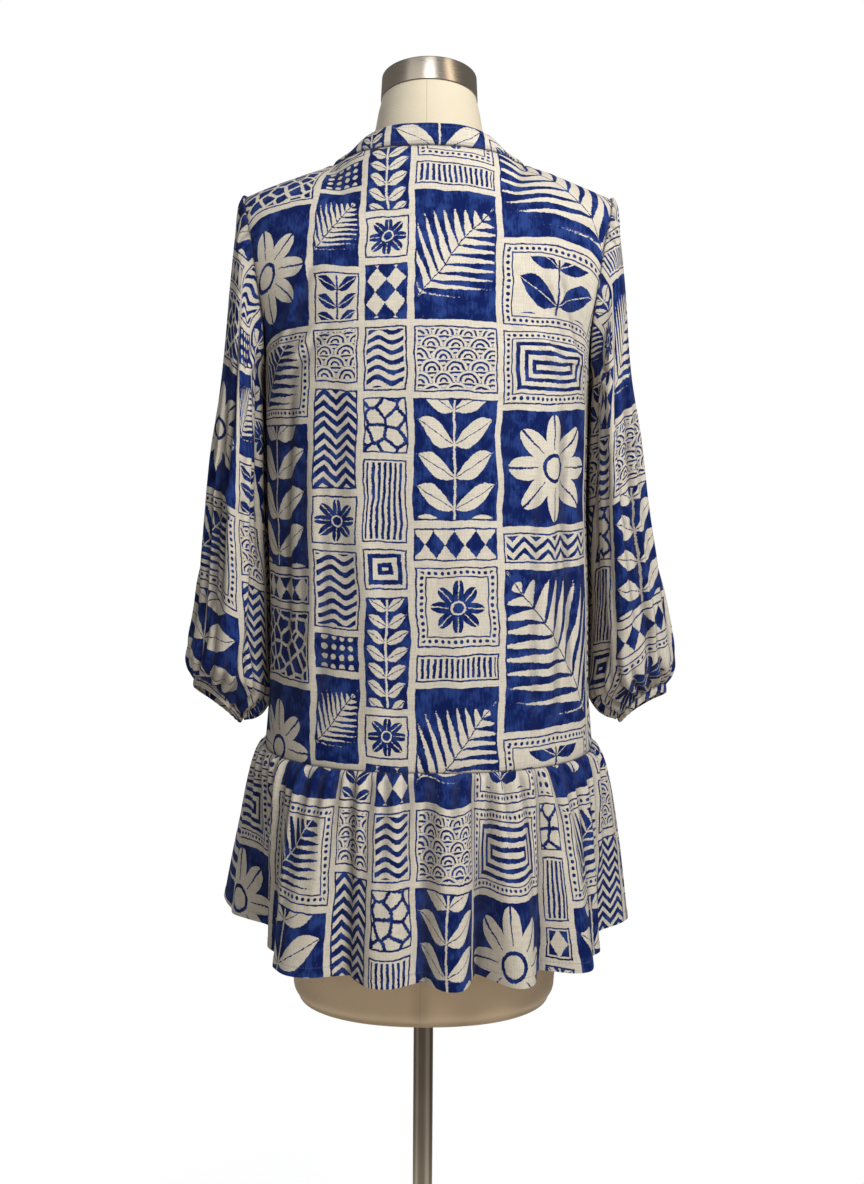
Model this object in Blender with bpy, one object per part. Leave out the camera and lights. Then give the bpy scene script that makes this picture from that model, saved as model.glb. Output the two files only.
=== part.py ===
"""A long sleeve dress with a gathered hem flounce, on a limbless dress form with a neck cap and a stand.

Metres, +Z up. The wearer's front looks along -Y and the wearer's left is +X. The origin is on the
floor, at the centre of the base plate's underside.
"""
import math

import bpy
import numpy as np
from mathutils import Vector
from mathutils.bvhtree import BVHTree

# Shading: an edge that turns further than this is a sharp one, in degrees
CLOTH_SHARP = 50.0
SOLID_SHARP = 30.0

# Cloth
CLOTH = 0.0015            # wall of every cloth panel
BAND = 0.0022             # wall of the doubled neckband and cuffs
SEAM_GAP = 0.0003         # between neighbouring pieces
SLEEVE_GAP = 0.0005       # between a sleeve and the panels it laps over
SLEEVE_FOLD = 0.0014      # further out where the sleeve folds down beside the underarm
SLEEVE_LAP = 0.004        # how far a sleeve reaches over the armhole's edge
SLEEVE_STEP = 0.0012      # how far a sleeve then steps out beside that edge
LAP_TURNS = (95.0, 150.0)       # degrees round the armhole where the lap swings from inwards to upwards
FOLD_TURNS = (85.0, 115.0)      # where the sleeve starts to lie further out
UNFOLD_TURNS = (160.0, 180.0)   # where it comes back in, at the underarm
FORM_CLEAR = 0.0004       # cloth's inner face to the dress form, at its closest points
SAME_PLACE = 5            # decimals of a metre to which two grid points are one

# Heights above the floor
SEAM_Z = 0.795            # seam between the bodice and the flounce
HEM_Z = 0.5955            # hem of the flounce
UNDERARM_Z = 1.205
SHOULDER_Z = 1.400        # shoulder tip

# Bodice
SHOULDER_X = 0.2045       # shoulder tip from the centre
SIDE_X = 0.1795           # side seam at the underarm
ARM_DEPTH = 0.066         # half the armhole, front to back
NECK_X = 0.106            # where the neckline meets the shoulder seam
NECK_Y = 0.004
NECK_Z = 1.4345
NECK_SHARE = 0.36         # share of each panel's half width that ends at the neckline
NECK_STEPS = 8            # columns of a panel from its centre to the neckline's side
SHOULDER_STEPS = 6        # columns along one shoulder seam
BODY_ROWS = 7             # rows from the flounce seam up to the underarm
ARM_ROWS = 8              # rows from the underarm up to the yoke line
YOKE_ROWS = 6             # rows from the yoke line over the shoulder
ROUND_BACK = 0.55         # how rounded the upper back is; the shoulder tip is fully rounded, 1
ROUND_FRONT = 0.35        # how rounded the front is at the neckline's side
YOKE_TURN = 60.0          # yoke line, as degrees round the armhole from the shoulder tip
BODY_SQUARE = 2.3         # exponent of the body's oval sections
OVAL_TURNS = (120.0, 180.0)     # degrees round the armhole where a panel's rows take on that oval
ROW_BOW = 1.5             # how late a row climbs between the neckline's side and the armhole
SHOULDER_RISE = 0.0030    # bow of the shoulder seam over the form's shoulder

# Sections of the bodice: height, half width, depth behind and in front of the side seam
BODY_COLUMNS = ("z", "side", "back", "front")
BODY = (
    (0.795, 0.1815, 0.1480, 0.1450),
    (0.850, 0.1775, 0.1440, 0.1420),
    (0.950, 0.1765, 0.1420, 0.1410),
    (1.080, 0.1770, 0.1390, 0.1400),
    (1.205, 0.1795, 0.1340, 0.1340),
)

# Armhole: degrees round from the shoulder tip, and distance from the centre
ARMHOLE_COLUMNS = ("turn", "x")
ARMHOLE = (
    (0.0, SHOULDER_X), (30.0, 0.2015), (60.0, 0.1930), (90.0, 0.1845), (120.0, 0.1768),
    (150.0, 0.1768), (180.0, SIDE_X),
)

# Rows of a panel beside the armhole: degrees round the armhole, depth and height at the centre,
# height where the neckline's side comes down to, and how far round the oval the row reaches
ARM_COLUMNS = ("turn", "middle_y", "middle_z", "side_z", "reach")
BACK_ARM = (
    (180.0, 0.1340, 1.205, 1.205, 90.0),
    (150.0, 0.1310, 1.242, 1.238, 78.0),
    (115.0, 0.1250, 1.285, 1.280, 66.0),
    (85.0, 0.1140, 1.325, 1.322, 60.0),
    (60.0, 0.1010, 1.362, 1.364, 56.0),
)
FRONT_ARM = (
    (180.0, 0.1340, 1.168, 1.205, 90.0),
    (150.0, 0.1350, 1.188, 1.236, 78.0),
    (115.0, 0.1345, 1.207, 1.278, 66.0),
    (85.0, 0.1325, 1.224, 1.318, 60.0),
    (60.0, 0.1305, 1.240, 1.356, 56.0),
)

# Neckline seam from its centre to its side: share of the way, across, depth and height
NECKLINE_COLUMNS = ("share", "x", "y", "z")
BACK_NECKLINE = (
    (0.00, 0.0000, 0.0680, 1.4490),
    (0.35, 0.0430, 0.0620, 1.4480),
    (0.70, 0.0800, 0.0400, 1.4440),
    (1.00, NECK_X, NECK_Y, NECK_Z),
)
FRONT_NECKLINE = (
    (0.00, 0.0000, -0.1270, 1.2620),
    (0.25, 0.0350, -0.1170, 1.3130),
    (0.55, 0.0740, -0.0850, 1.3720),
    (0.80, 0.0980, -0.0420, 1.4150),
    (1.00, NECK_X, NECK_Y, NECK_Z),
)
# Free edge of the neckband, by the same shares
BACK_BAND_EDGE = (
    (0.00, 0.0000, 0.0590, 1.4740),
    (0.35, 0.0380, 0.0530, 1.4725),
    (0.70, 0.0685, 0.0310, 1.4640),
    (1.00, 0.0870, -0.0020, 1.4500),
)
FRONT_BAND_EDGE = (
    (0.00, 0.0000, -0.1200, 1.3010),
    (0.25, 0.0230, -0.1090, 1.3380),
    (0.55, 0.0540, -0.0780, 1.3900),
    (0.80, 0.0780, -0.0410, 1.4270),
    (1.00, 0.0870, -0.0020, 1.4500),
)
BAND_ROWS = 3

# Flounce: folds as degrees round from the centre back (the wearer's left is positive)
# and the hem's distance from the centre, as a share of the plain oval
FLOUNCE_SIDE = 0.2240
FLOUNCE_BACK = 0.1800
FOLD_COLUMNS = ("turn", "reach")
BACK_FOLDS = (
    (90.0, 0.98), (72.0, 0.79), (57.0, 0.97), (34.0, 1.11), (21.0, 0.965), (11.5, 1.11), (1.0, 0.985),
    (-6.5, 1.13), (-14.0, 0.89), (-22.0, 1.15), (-31.5, 0.95), (-40.5, 1.11), (-52.0, 1.02),
    (-71.0, 0.87), (-90.0, 1.00),
)
FRONT_FOLDS = (
    (90.0, 0.98), (106.0, 1.08), (118.0, 0.92), (130.0, 1.10), (141.0, 0.94), (151.0, 1.09),
    (162.0, 0.95), (172.0, 1.12), (183.0, 0.93), (194.0, 1.10), (205.0, 0.97), (216.0, 1.12),
    (229.0, 0.92), (242.0, 1.08), (256.0, 0.90), (270.0, 1.00),
)
FLOUNCE_ROWS = 8
FLOUNCE_STEPS = 64        # columns of each half
GATHERS = 16              # gathers of each half at the seam
GATHER_DEPTH = 0.0022
GATHER_START = 0.008      # length over which a gather swells below the seam
GATHER_FADE = 0.055       # length over which a gather runs out
FLARE = 0.50              # under 1, the flounce springs out just below the seam
FOLD_GROWTH = 0.85        # how evenly the folds deepen from the seam to the hem
ROW_CROWDING = 1.3        # over 1, the rows lie closer together near the seam

# Left sleeve: each section's inner and outer ends, its half depth, its middle's depth and
# how much its back edge is lifted
SLEEVE_COLUMNS = ("inner_x", "inner_z", "outer_x", "outer_z", "depth", "middle_y", "lift")
LEFT_SLEEVE = (
    (0.1822, 1.1930, 0.2095, 1.3880, 0.0675, 0.000, 0.0),
    (0.1820, 1.1750, 0.2135, 1.3570, 0.0700, -0.001, 0.0),
    (0.1815, 1.1450, 0.2185, 1.3050, 0.0740, -0.002, 0.0),
    (0.1805, 1.1000, 0.2255, 1.2250, 0.0770, -0.004, 0.0),
    (0.1800, 1.0400, 0.2360, 1.1350, 0.0790, -0.006, 0.0),
    (0.1797, 0.9800, 0.2450, 1.0500, 0.0790, -0.007, 0.0),
    (0.1797, 0.9300, 0.2540, 0.9850, 0.0770, -0.008, 0.0),
    (0.1800, 0.8880, 0.2620, 0.9300, 0.0730, -0.008, 0.05),
    (0.1805, 0.8570, 0.2680, 0.8950, 0.0670, -0.007, 0.12),
    (0.1835, 0.8350, 0.2700, 0.8770, 0.0570, -0.006, 0.22),
    (0.1920, 0.8230, 0.2695, 0.8690, 0.0460, -0.004, 0.32),
    (0.2050, 0.8215, 0.2680, 0.8635, 0.0360, -0.002, 0.40),
)
RIGHT_SLEEVE = (
    (0.1822, 1.1930, 0.2090, 1.3880, 0.0675, 0.000, 0.0),
    (0.1820, 1.1750, 0.2125, 1.3570, 0.0700, -0.001, 0.0),
    (0.1815, 1.1450, 0.2180, 1.3050, 0.0740, -0.002, 0.0),
    (0.1805, 1.1000, 0.2240, 1.2250, 0.0770, -0.004, 0.0),
    (0.1800, 1.0400, 0.2350, 1.1350, 0.0790, -0.006, 0.0),
    (0.1797, 0.9800, 0.2460, 1.0500, 0.0790, -0.007, 0.0),
    (0.1797, 0.9300, 0.2560, 0.9850, 0.0770, -0.008, 0.0),
    (0.1800, 0.8880, 0.2660, 0.9300, 0.0730, -0.008, 0.05),
    (0.1808, 0.8580, 0.2710, 0.8890, 0.0670, -0.007, 0.10),
    (0.1845, 0.8350, 0.2720, 0.8700, 0.0570, -0.006, 0.18),
    (0.1945, 0.8230, 0.2715, 0.8610, 0.0460, -0.004, 0.26),
    (0.2075, 0.8205, 0.2700, 0.8555, 0.0360, -0.002, 0.32),
)
SLEEVE_SQUARE = 2.2
# Long folds of a sleeve: degrees round the section, width in degrees, depth (inwards below zero),
# and the sections between which the fold lies
CREASE_COLUMNS = ("turn", "width", "depth", "first", "last")
LEFT_CREASES = (
    (62.0, 16.0, -0.0090, 3, 8),
    (96.0, 15.0, 0.0050, 4, 8),
    (130.0, 16.0, -0.0080, 2, 7),
    (-70.0, 18.0, -0.0080, 3, 8),
    (-125.0, 18.0, -0.0070, 3, 7),
)
RIGHT_CREASES = (
    (70.0, 16.0, -0.0080, 3, 8),
    (104.0, 15.0, 0.0050, 4, 8),
    (138.0, 16.0, -0.0090, 2, 7),
    (-60.0, 18.0, -0.0080, 3, 8),
    (-118.0, 18.0, -0.0070, 3, 7),
)

# Sleeve ends and cuffs
CUFF_GATHERS = 14
CUFF_GATHER_DEPTH = 0.0016
CUFF_HEIGHT = 0.0110
CUFF_TUCK = 0.0030        # how far the cuff reaches up into the sleeve
CUFF_LEAN = 0.15          # outward drift of the cuff for each metre down

# How the cloth is lifted clear of the dress form: cuts of each cell, passes and search distance
REST_CUTS = 3
REST_PASSES = 8
REST_REACH = 0.03

# Dress form: height, half width, back and front depth, exponent, tilt of the ring's back
FORM_COLUMNS = ("z", "side", "back", "front", "square", "tilt")
FORM = (
    (0.5070, 0.1180, 0.0720, -0.0700, 2.2, 0.0),
    (0.5095, 0.1310, 0.0860, -0.0840, 2.2, 0.0),
    (0.5180, 0.1410, 0.0960, -0.0930, 2.2, 0.0),
    (0.5400, 0.1465, 0.1020, -0.0990, 2.2, 0.0),
    (0.6200, 0.1500, 0.1070, -0.1040, 2.2, 0.0),
    (0.7200, 0.1580, 0.1130, -0.1080, 2.2, 0.0),
    (0.8200, 0.1640, 0.1180, -0.1100, 2.2, 0.0),
    (0.9200, 0.1500, 0.1060, -0.1040, 2.2, 0.0),
    (1.0200, 0.1210, 0.0840, -0.0940, 2.1, 0.0),
    (1.1200, 0.1330, 0.0920, -0.1080, 2.1, 0.0),
    (1.2200, 0.1480, 0.1030, -0.1200, 2.1, 0.0),
    (1.3000, 0.1540, 0.1020, -0.1080, 2.1, 0.0),
    (1.3500, 0.1650, 0.0900, -0.0880, 2.0, 0.0),
    (1.3800, 0.1740, 0.0740, -0.0690, 2.0, 0.0),
    (1.3960, 0.1690, 0.0660, -0.0580, 2.0, 0.0),
    (1.4080, 0.1540, 0.0625, -0.0530, 2.0, 0.0),
    (1.4200, 0.1270, 0.0600, -0.0520, 2.0, 0.0),
    (1.4320, 0.0990, 0.0580, -0.0540, 2.0, 0.03),
    (1.4430, 0.0780, 0.0560, -0.0570, 2.0, 0.08),
    (1.4560, 0.0660, 0.0530, -0.0610, 2.0, 0.14),
    (1.4760, 0.0610, 0.0480, -0.0670, 2.0, 0.20),
    (1.4980, 0.0575, 0.0400, -0.0710, 2.0, 0.24),
    (1.5180, 0.0545, 0.0330, -0.0740, 2.0, 0.25),
)
FORM_SIDES = 32
SOCKET_DEPTH = 0.080

# Neck cap
CAP_RADIUS = 0.0535
CAP_HEIGHT = 0.0260
CAP_BEVEL = 0.0012
CAP_SIDES = 48

# Stand
POLE_RADIUS = 0.0110
POLE_SIDES = 24
BASE_RADIUS = 0.1800
BASE_THICKNESS = 0.0080
BASE_BEVEL = 0.0020
BASE_SIDES = 48


def column(table, columns, name):
    """One named column of a table."""
    return np.array([row[columns.index(name)] for row in table], float)


def named(row, columns):
    """A table's row as values by name."""
    return dict(zip(columns, row))


def smooth(at, values, where):
    """Smooth curve through the values at the given places, with no overshoot at its ends."""
    at = np.asarray(at, float)
    values = np.asarray(values, float)
    where = np.clip(np.asarray(where, float), at[0], at[-1])
    slope = np.gradient(values, at)
    index = np.clip(np.searchsorted(at, where, side="right") - 1, 0, len(at) - 2)
    span = at[index + 1] - at[index]
    u = (where - at[index]) / span
    start = (1 + 2 * u) * (1 - u) ** 2 * values[index]
    end = u * u * (3 - 2 * u) * values[index + 1]
    bend = u * (1 - u) ** 2 * span * slope[index] - u * u * (1 - u) * span * slope[index + 1]
    return start + end + bend


def ease(low, high, value):
    """Zero below the low value, one above the high value, smooth between."""
    u = np.clip((value - low) / (high - low), 0.0, 1.0)
    return u * u * (3 - 2 * u)


def oval(angle, exponent):
    """Point of a unit superellipse, as (sine part, cosine part)."""
    sine = math.sin(angle)
    cosine = math.cos(angle)
    power = 2.0 / exponent
    return math.copysign(abs(sine) ** power, sine), math.copysign(abs(cosine) ** power, cosine)


def make_material(name, colour, roughness, metallic=0.0):
    """A Principled material with the part's colour, roughness and metallic value."""
    material = bpy.data.materials.new(name)
    material.use_nodes = True
    shader = material.node_tree.nodes["Principled BSDF"]
    shader.inputs["Base Color"].default_value = (*colour, 1.0)
    shader.inputs["Roughness"].default_value = roughness
    shader.inputs["Metallic"].default_value = metallic
    return material


def make_object(name, points, faces, material, sharp):
    """A named, smooth-shaded mesh object."""
    mesh = bpy.data.meshes.new(name)
    mesh.from_pydata([tuple(point) for point in points], [], faces)
    mesh.materials.append(material)
    mesh.shade_smooth()
    mesh.set_sharp_from_angle(angle=math.radians(sharp))
    made = bpy.data.objects.new(name, mesh)
    bpy.context.scene.collection.objects.link(made)
    return made


def grid_normals(grid, closed):
    """Unit normals of a grid of points, from its rows and columns."""
    along = np.gradient(grid, axis=0)
    if closed:
        across = (np.roll(grid, -1, axis=1) - np.roll(grid, 1, axis=1)) / 2
    else:
        across = np.gradient(grid, axis=1)
    normal = np.cross(across, along)
    return normal / np.linalg.norm(normal, axis=2, keepdims=True)


def wall(name, grid, thickness, material, closed=False, normals=None):
    """A closed cloth wall on both sides of a grid of middle points; columns run left to right
    as seen from outside, and rows run upwards. Each cell is cut along its shorter diagonal,
    the same on both sides, so that a twisted cell keeps its thickness."""
    rows, columns = grid.shape[:2]
    if normals is None:
        normals = grid_normals(grid, closed)
    middle = grid.reshape(-1, 3)
    outer = (grid + normals * thickness / 2).reshape(-1, 3)
    inner = (grid - normals * thickness / 2).reshape(-1, 3)
    points = np.concatenate([outer, inner])
    behind = rows * columns
    faces = []
    last = columns if closed else columns - 1

    def at(row, col):
        return row * columns + col % columns

    for row in range(rows - 1):
        for col in range(last):
            a, b, c, d = at(row, col), at(row, col + 1), at(row + 1, col + 1), at(row + 1, col)
            rising = np.linalg.norm(middle[c] - middle[a])
            falling = np.linalg.norm(middle[d] - middle[b])
            cut = ((a, b, c), (a, c, d)) if rising <= falling else ((a, b, d), (b, c, d))
            for face in cut:
                faces.append(face)
                faces.append(tuple(point + behind for point in reversed(face)))
    for col in range(last):
        a, b = at(0, col), at(0, col + 1)
        faces.append((b, a, a + behind, b + behind))
        a, b = at(rows - 1, col), at(rows - 1, col + 1)
        faces.append((a, b, b + behind, a + behind))
    if not closed:
        for row in range(rows - 1):
            a, b = at(row, 0), at(row + 1, 0)
            faces.append((a, b, b + behind, a + behind))
            a, b = at(row, columns - 1), at(row + 1, columns - 1)
            faces.append((b, a, a + behind, b + behind))
    return make_object(name, points, faces, material, CLOTH_SHARP)


def pull_edge(grid, row=None, col=None, distance=SEAM_GAP / 2):
    """Moves one edge of a grid inwards, square to the edge, towards its neighbours."""
    if row is not None:
        edge = grid[row]
        step = grid[row + 1 if row == 0 else row - 1] - edge
    else:
        edge = grid[:, col]
        step = grid[:, col + 1 if col == 0 else col - 1] - edge
    along = np.gradient(edge, axis=0)
    along /= np.linalg.norm(along, axis=1, keepdims=True)
    step = step - along * np.sum(step * along, axis=1, keepdims=True)
    edge += step / np.linalg.norm(step, axis=1, keepdims=True) * distance


def turned_solid(name, rings, material, sides):
    """A closed solid through stacked rings, each a list of points, capped at both ends."""
    points = [point for ring in rings for point in ring]
    faces = []
    for index in range(len(rings) - 1):
        for side in range(sides):
            a = index * sides + side
            b = index * sides + (side + 1) % sides
            faces.append((a, b, b + sides, a + sides))
    faces.append(tuple(reversed(range(sides))))
    top = (len(rings) - 1) * sides
    faces.append(tuple(range(top, top + sides)))
    return make_object(name, points, faces, material, SOLID_SHARP)


# Dress form and stand


def form_ring(z, side, back, front, square=2.0, tilt=0.0):
    """One horizontal section of the dress form, its back edge lifted by the tilt."""
    half = (back - front) / 2
    ring = []
    for index in range(FORM_SIDES):
        across, along = oval(-2 * math.pi * index / FORM_SIDES, square)
        ring.append((across * side, (back + front) / 2 + along * half, z + tilt * along * half))
    return ring


def make_form(material):
    """The torso: whole and smooth, with a blind socket for the pole in its underside."""
    reach = POLE_RADIUS + SEAM_GAP
    floor = named(FORM[0], FORM_COLUMNS)["z"]
    rings = [form_ring(height, reach, reach, -reach) for height in (floor + SOCKET_DEPTH, floor)]
    rings += [form_ring(**named(row, FORM_COLUMNS)) for row in FORM]
    return turned_solid("form_torso", rings, material, FORM_SIDES)


def make_cap(material):
    """The metal cap on the neck, tilted with it."""
    top = named(FORM[-1], FORM_COLUMNS)
    middle = Vector((0.0, (top["back"] + top["front"]) / 2, top["z"]))
    axis = Vector((0.0, -top["tilt"], 1.0)).normalized()
    side = Vector((1.0, 0.0, 0.0))
    back = axis.cross(side)
    profile = (
        (CAP_RADIUS - CAP_BEVEL, 0.0), (CAP_RADIUS, CAP_BEVEL),
        (CAP_RADIUS, CAP_HEIGHT - CAP_BEVEL), (CAP_RADIUS - CAP_BEVEL, CAP_HEIGHT),
    )
    rings = []
    for radius, height in profile:
        ring = []
        for index in range(CAP_SIDES):
            turn = 2 * math.pi * index / CAP_SIDES
            out = side * math.cos(turn) + back * math.sin(turn)
            ring.append(middle + axis * (height + SEAM_GAP) + out * radius)
        rings.append(ring)
    return turned_solid("neck_cap", rings, material, CAP_SIDES)


def make_round(name, profile, material, sides):
    """A solid of revolution about the stand's axis, through (radius, height) rings."""
    rings = []
    for radius, height in profile:
        turns = [2 * math.pi * index / sides for index in range(sides)]
        rings.append([(radius * math.cos(turn), radius * math.sin(turn), height) for turn in turns])
    return turned_solid(name, rings, material, sides)


def make_stand(pole_material, base_material):
    """The plain base plate and the pole that stands on it and ends in the form's socket."""
    make_round("base_plate", (
        (BASE_RADIUS, 0.0), (BASE_RADIUS, BASE_THICKNESS - BASE_BEVEL),
        (BASE_RADIUS - BASE_BEVEL, BASE_THICKNESS),
    ), base_material, BASE_SIDES)
    top = named(FORM[0], FORM_COLUMNS)["z"] + SOCKET_DEPTH - SEAM_GAP
    make_round("pole", (
        (POLE_RADIUS, BASE_THICKNESS + SEAM_GAP), (POLE_RADIUS, top),
    ), pole_material, POLE_SIDES)


# Bodice


def armhole(turn):
    """Armhole seam on the wearer's left, back half, at degrees round from the shoulder tip."""
    height = (SHOULDER_Z - UNDERARM_Z) / 2
    z = UNDERARM_Z + height * (1 + math.cos(math.radians(turn)))
    turns = column(ARMHOLE, ARMHOLE_COLUMNS, "turn")
    x = float(smooth(turns, column(ARMHOLE, ARMHOLE_COLUMNS, "x"), turn))
    return x, ARM_DEPTH * math.sin(math.radians(turn)), z


def panel_places():
    """Places across half a panel, 0 at its centre and 1 at its side."""
    neck = [NECK_SHARE * index / NECK_STEPS for index in range(NECK_STEPS)]
    rest = [NECK_SHARE + (1 - NECK_SHARE) * index / SHOULDER_STEPS for index in range(SHOULDER_STEPS + 1)]
    return neck + rest


def neckline_point(table, share):
    """Point of the neckline seam or the band's edge, on the wearer's left."""
    shares = column(table, NECKLINE_COLUMNS, "share")
    return np.array([float(smooth(shares, column(table, NECKLINE_COLUMNS, axis), share)) for axis in "xyz"])


def top_point(neckline, place):
    """Top edge of a panel: the neckline, then the shoulder seam out to its tip."""
    if place <= NECK_SHARE:
        return neckline_point(neckline, place / NECK_SHARE)
    share = (place - NECK_SHARE) / (1 - NECK_SHARE)
    start = np.array([NECK_X, NECK_Y, NECK_Z])
    end = np.array([SHOULDER_X, 0.0, SHOULDER_Z])
    point = start + (end - start) * share
    point[2] += SHOULDER_RISE * math.sin(math.pi * share)
    return point


def arm_row(table, facing, turn, place):
    """Point of a panel row beside the armhole, on the wearer's left. Up to the neckline's side the
    row climbs in a curve behind and straight in front, where the neck opening is a vee."""
    turns = -column(table, ARM_COLUMNS, "turn")
    values = {name: float(smooth(turns, column(table, ARM_COLUMNS, name), -turn)) for name in ARM_COLUMNS}
    edge_x, edge_y, edge_z = armhole(turn)
    reach = math.radians(values["reach"])
    blend = ease(*OVAL_TURNS, turn)
    x_plain = math.sin(reach * place) / math.sin(reach)
    y_plain = (math.cos(reach * place) - math.cos(reach)) / (1 - math.cos(reach))
    x_oval, y_oval = oval(math.pi / 2 * place, BODY_SQUARE)
    x = edge_x * (x_plain + (x_oval - x_plain) * blend)
    share = y_plain + (y_oval - y_plain) * blend
    y = edge_y + (values["middle_y"] - edge_y) * share
    if place <= NECK_SHARE:
        climb = place / NECK_SHARE if facing < 0 else ease(0.0, NECK_SHARE, place)
        z = values["middle_z"] + (values["side_z"] - values["middle_z"]) * climb
    else:
        out = (place - NECK_SHARE) / (1 - NECK_SHARE)
        z = values["side_z"] + (edge_z - values["side_z"]) * out ** ROW_BOW
    return np.array([x, facing * y, z])


def body_point(height, facing, place):
    """Point of the bodice below the underarm, on the wearer's left."""
    heights = column(BODY, BODY_COLUMNS, "z")
    side = float(smooth(heights, column(BODY, BODY_COLUMNS, "side"), height))
    depth = float(smooth(heights, column(BODY, BODY_COLUMNS, "back" if facing > 0 else "front"), height))
    across, along = oval(math.pi / 2 * place, BODY_SQUARE)
    return np.array([side * across, facing * depth * along, height])


def half_panel(facing):
    """Grid of middle points of half a panel, from its centre to its left side."""
    arm_table = BACK_ARM if facing > 0 else FRONT_ARM
    neckline = BACK_NECKLINE if facing > 0 else FRONT_NECKLINE
    places = panel_places()
    grid = []
    start_z = named(arm_table[0], ARM_COLUMNS)["middle_z"]
    for row in range(BODY_ROWS):
        share = row / BODY_ROWS
        line = []
        for place in places:
            blend = ease(0.0, 1.0, 1 - place / NECK_SHARE) if facing < 0 else 0.0
            top = UNDERARM_Z + (start_z - UNDERARM_Z) * blend
            line.append(body_point(SEAM_Z + (top - SEAM_Z) * share, facing, place))
        grid.append(line)
    for row in range(ARM_ROWS + 1):
        turn = 180.0 + (YOKE_TURN - 180.0) * row / ARM_ROWS
        grid.append([arm_row(arm_table, facing, turn, place) for place in places])
    for row in range(1, YOKE_ROWS + 1):
        roll = math.pi / 2 * row / YOKE_ROWS
        line = []
        for place, low in zip(places, grid[BODY_ROWS + ARM_ROWS]):
            high = top_point(neckline, place)
            base = ROUND_BACK if facing > 0 else ROUND_FRONT * ease(0.0, NECK_SHARE, place)
            rounded = base + (1 - base) * ease(NECK_SHARE, 1.0, place)
            over = row / YOKE_ROWS * (1 - rounded) + (1 - math.cos(roll)) * rounded
            up = row / YOKE_ROWS * (1 - rounded) + math.sin(roll) * rounded
            line.append(np.array([
                low[0] + (high[0] - low[0]) * math.sin(roll), low[1] + (high[1] - low[1]) * over,
                low[2] + (high[2] - low[2]) * up,
            ]))
        grid.append(line)
    return np.array(grid)


def whole_panel(facing):
    """Grid of a whole panel, columns left to right as seen from outside."""
    left = half_panel(facing)
    right = left[:, 1:] * np.array([-1.0, 1.0, 1.0])
    if facing > 0:
        return np.concatenate([left[:, ::-1], right], axis=1)
    return np.concatenate([right[:, ::-1], left], axis=1)


def place_key(point):
    """A key that grid points in one place share."""
    return tuple(np.round(point, SAME_PLACE))


def rest_on(form, grids, clearance):
    """Lifts the grids' points until every cell lies clear of the dress form, so that the cloth
    rests on its shoulders. Points that two grids share move together."""
    tree = BVHTree.FromObject(form, bpy.context.evaluated_depsgraph_get())
    parts = [(u / REST_CUTS, v / REST_CUTS) for u in range(REST_CUTS + 1) for v in range(REST_CUTS + 1)]
    for _ in range(REST_PASSES):
        lifts = {}
        for grid in grids:
            rows, columns = grid.shape[:2]
            for row, col in np.ndindex(rows - 1, columns - 1):
                corners = ((row, col), (row, col + 1), (row + 1, col), (row + 1, col + 1))
                for u, v in parts:
                    weights = ((1 - u) * (1 - v), u * (1 - v), (1 - u) * v, u * v)
                    point = Vector(sum(grid[corner] * share for corner, share in zip(corners, weights)))
                    place, normal, _, distance = tree.find_nearest(point, REST_REACH)
                    if place is None:
                        continue
                    short = clearance - math.copysign(distance, (point - place).dot(normal))
                    if short <= 0:
                        continue
                    for corner, share in zip(corners, weights):
                        key = place_key(grid[corner])
                        if share > 0 and lifts.get(key, (0.0, None))[0] < short:
                            lifts[key] = (short, normal * short)
        for grid in grids:
            for index in np.ndindex(grid.shape[:2]):
                lift = lifts.get(place_key(grid[index]))
                if lift:
                    grid[index] += lift[1]
        if not lifts:
            break


def shared_normals(grids):
    """Normals of several grids, averaged where their points meet."""
    normals = [grid_normals(grid, False) for grid in grids]
    meeting = {}
    for grid, normal in zip(grids, normals):
        for index in np.ndindex(grid.shape[:2]):
            meeting.setdefault(place_key(grid[index]), []).append(normal[index])
    for grid, normal in zip(grids, normals):
        for index in np.ndindex(grid.shape[:2]):
            total = np.sum(meeting[place_key(grid[index])], axis=0)
            normal[index] = total / np.linalg.norm(total)
    return normals


def flat_normals(normal, row):
    """Keeps one row's normals level, so that its edge faces straight up or down."""
    normal[row, :, 2] = 0.0
    normal[row] /= np.linalg.norm(normal[row], axis=1, keepdims=True)


def neck_ring(back, front):
    """The neckline's values in the two panels' top rows, as one ring from the left side round the
    back to the right side and round the front."""
    middle = back.shape[1] // 2
    first = middle - NECK_STEPS
    last = middle + NECK_STEPS
    return np.concatenate([back[-1, first:last], front[-1, first:last]])


def band_grid(panels):
    """Middle points of the neckband, from the neckline seam up to its free edge."""
    lower = neck_ring(*panels)
    upper = []
    for table in (BACK_BAND_EDGE, FRONT_BAND_EDGE):
        for step in range(-NECK_STEPS, NECK_STEPS):
            upper.append(neckline_point(table, abs(step) / NECK_STEPS))
    upper = np.array(upper)
    upper[:, 0] = np.copysign(upper[:, 0], lower[:, 0])
    return np.array([lower + (upper - lower) * index / BAND_ROWS for index in range(BAND_ROWS + 1)])


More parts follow.
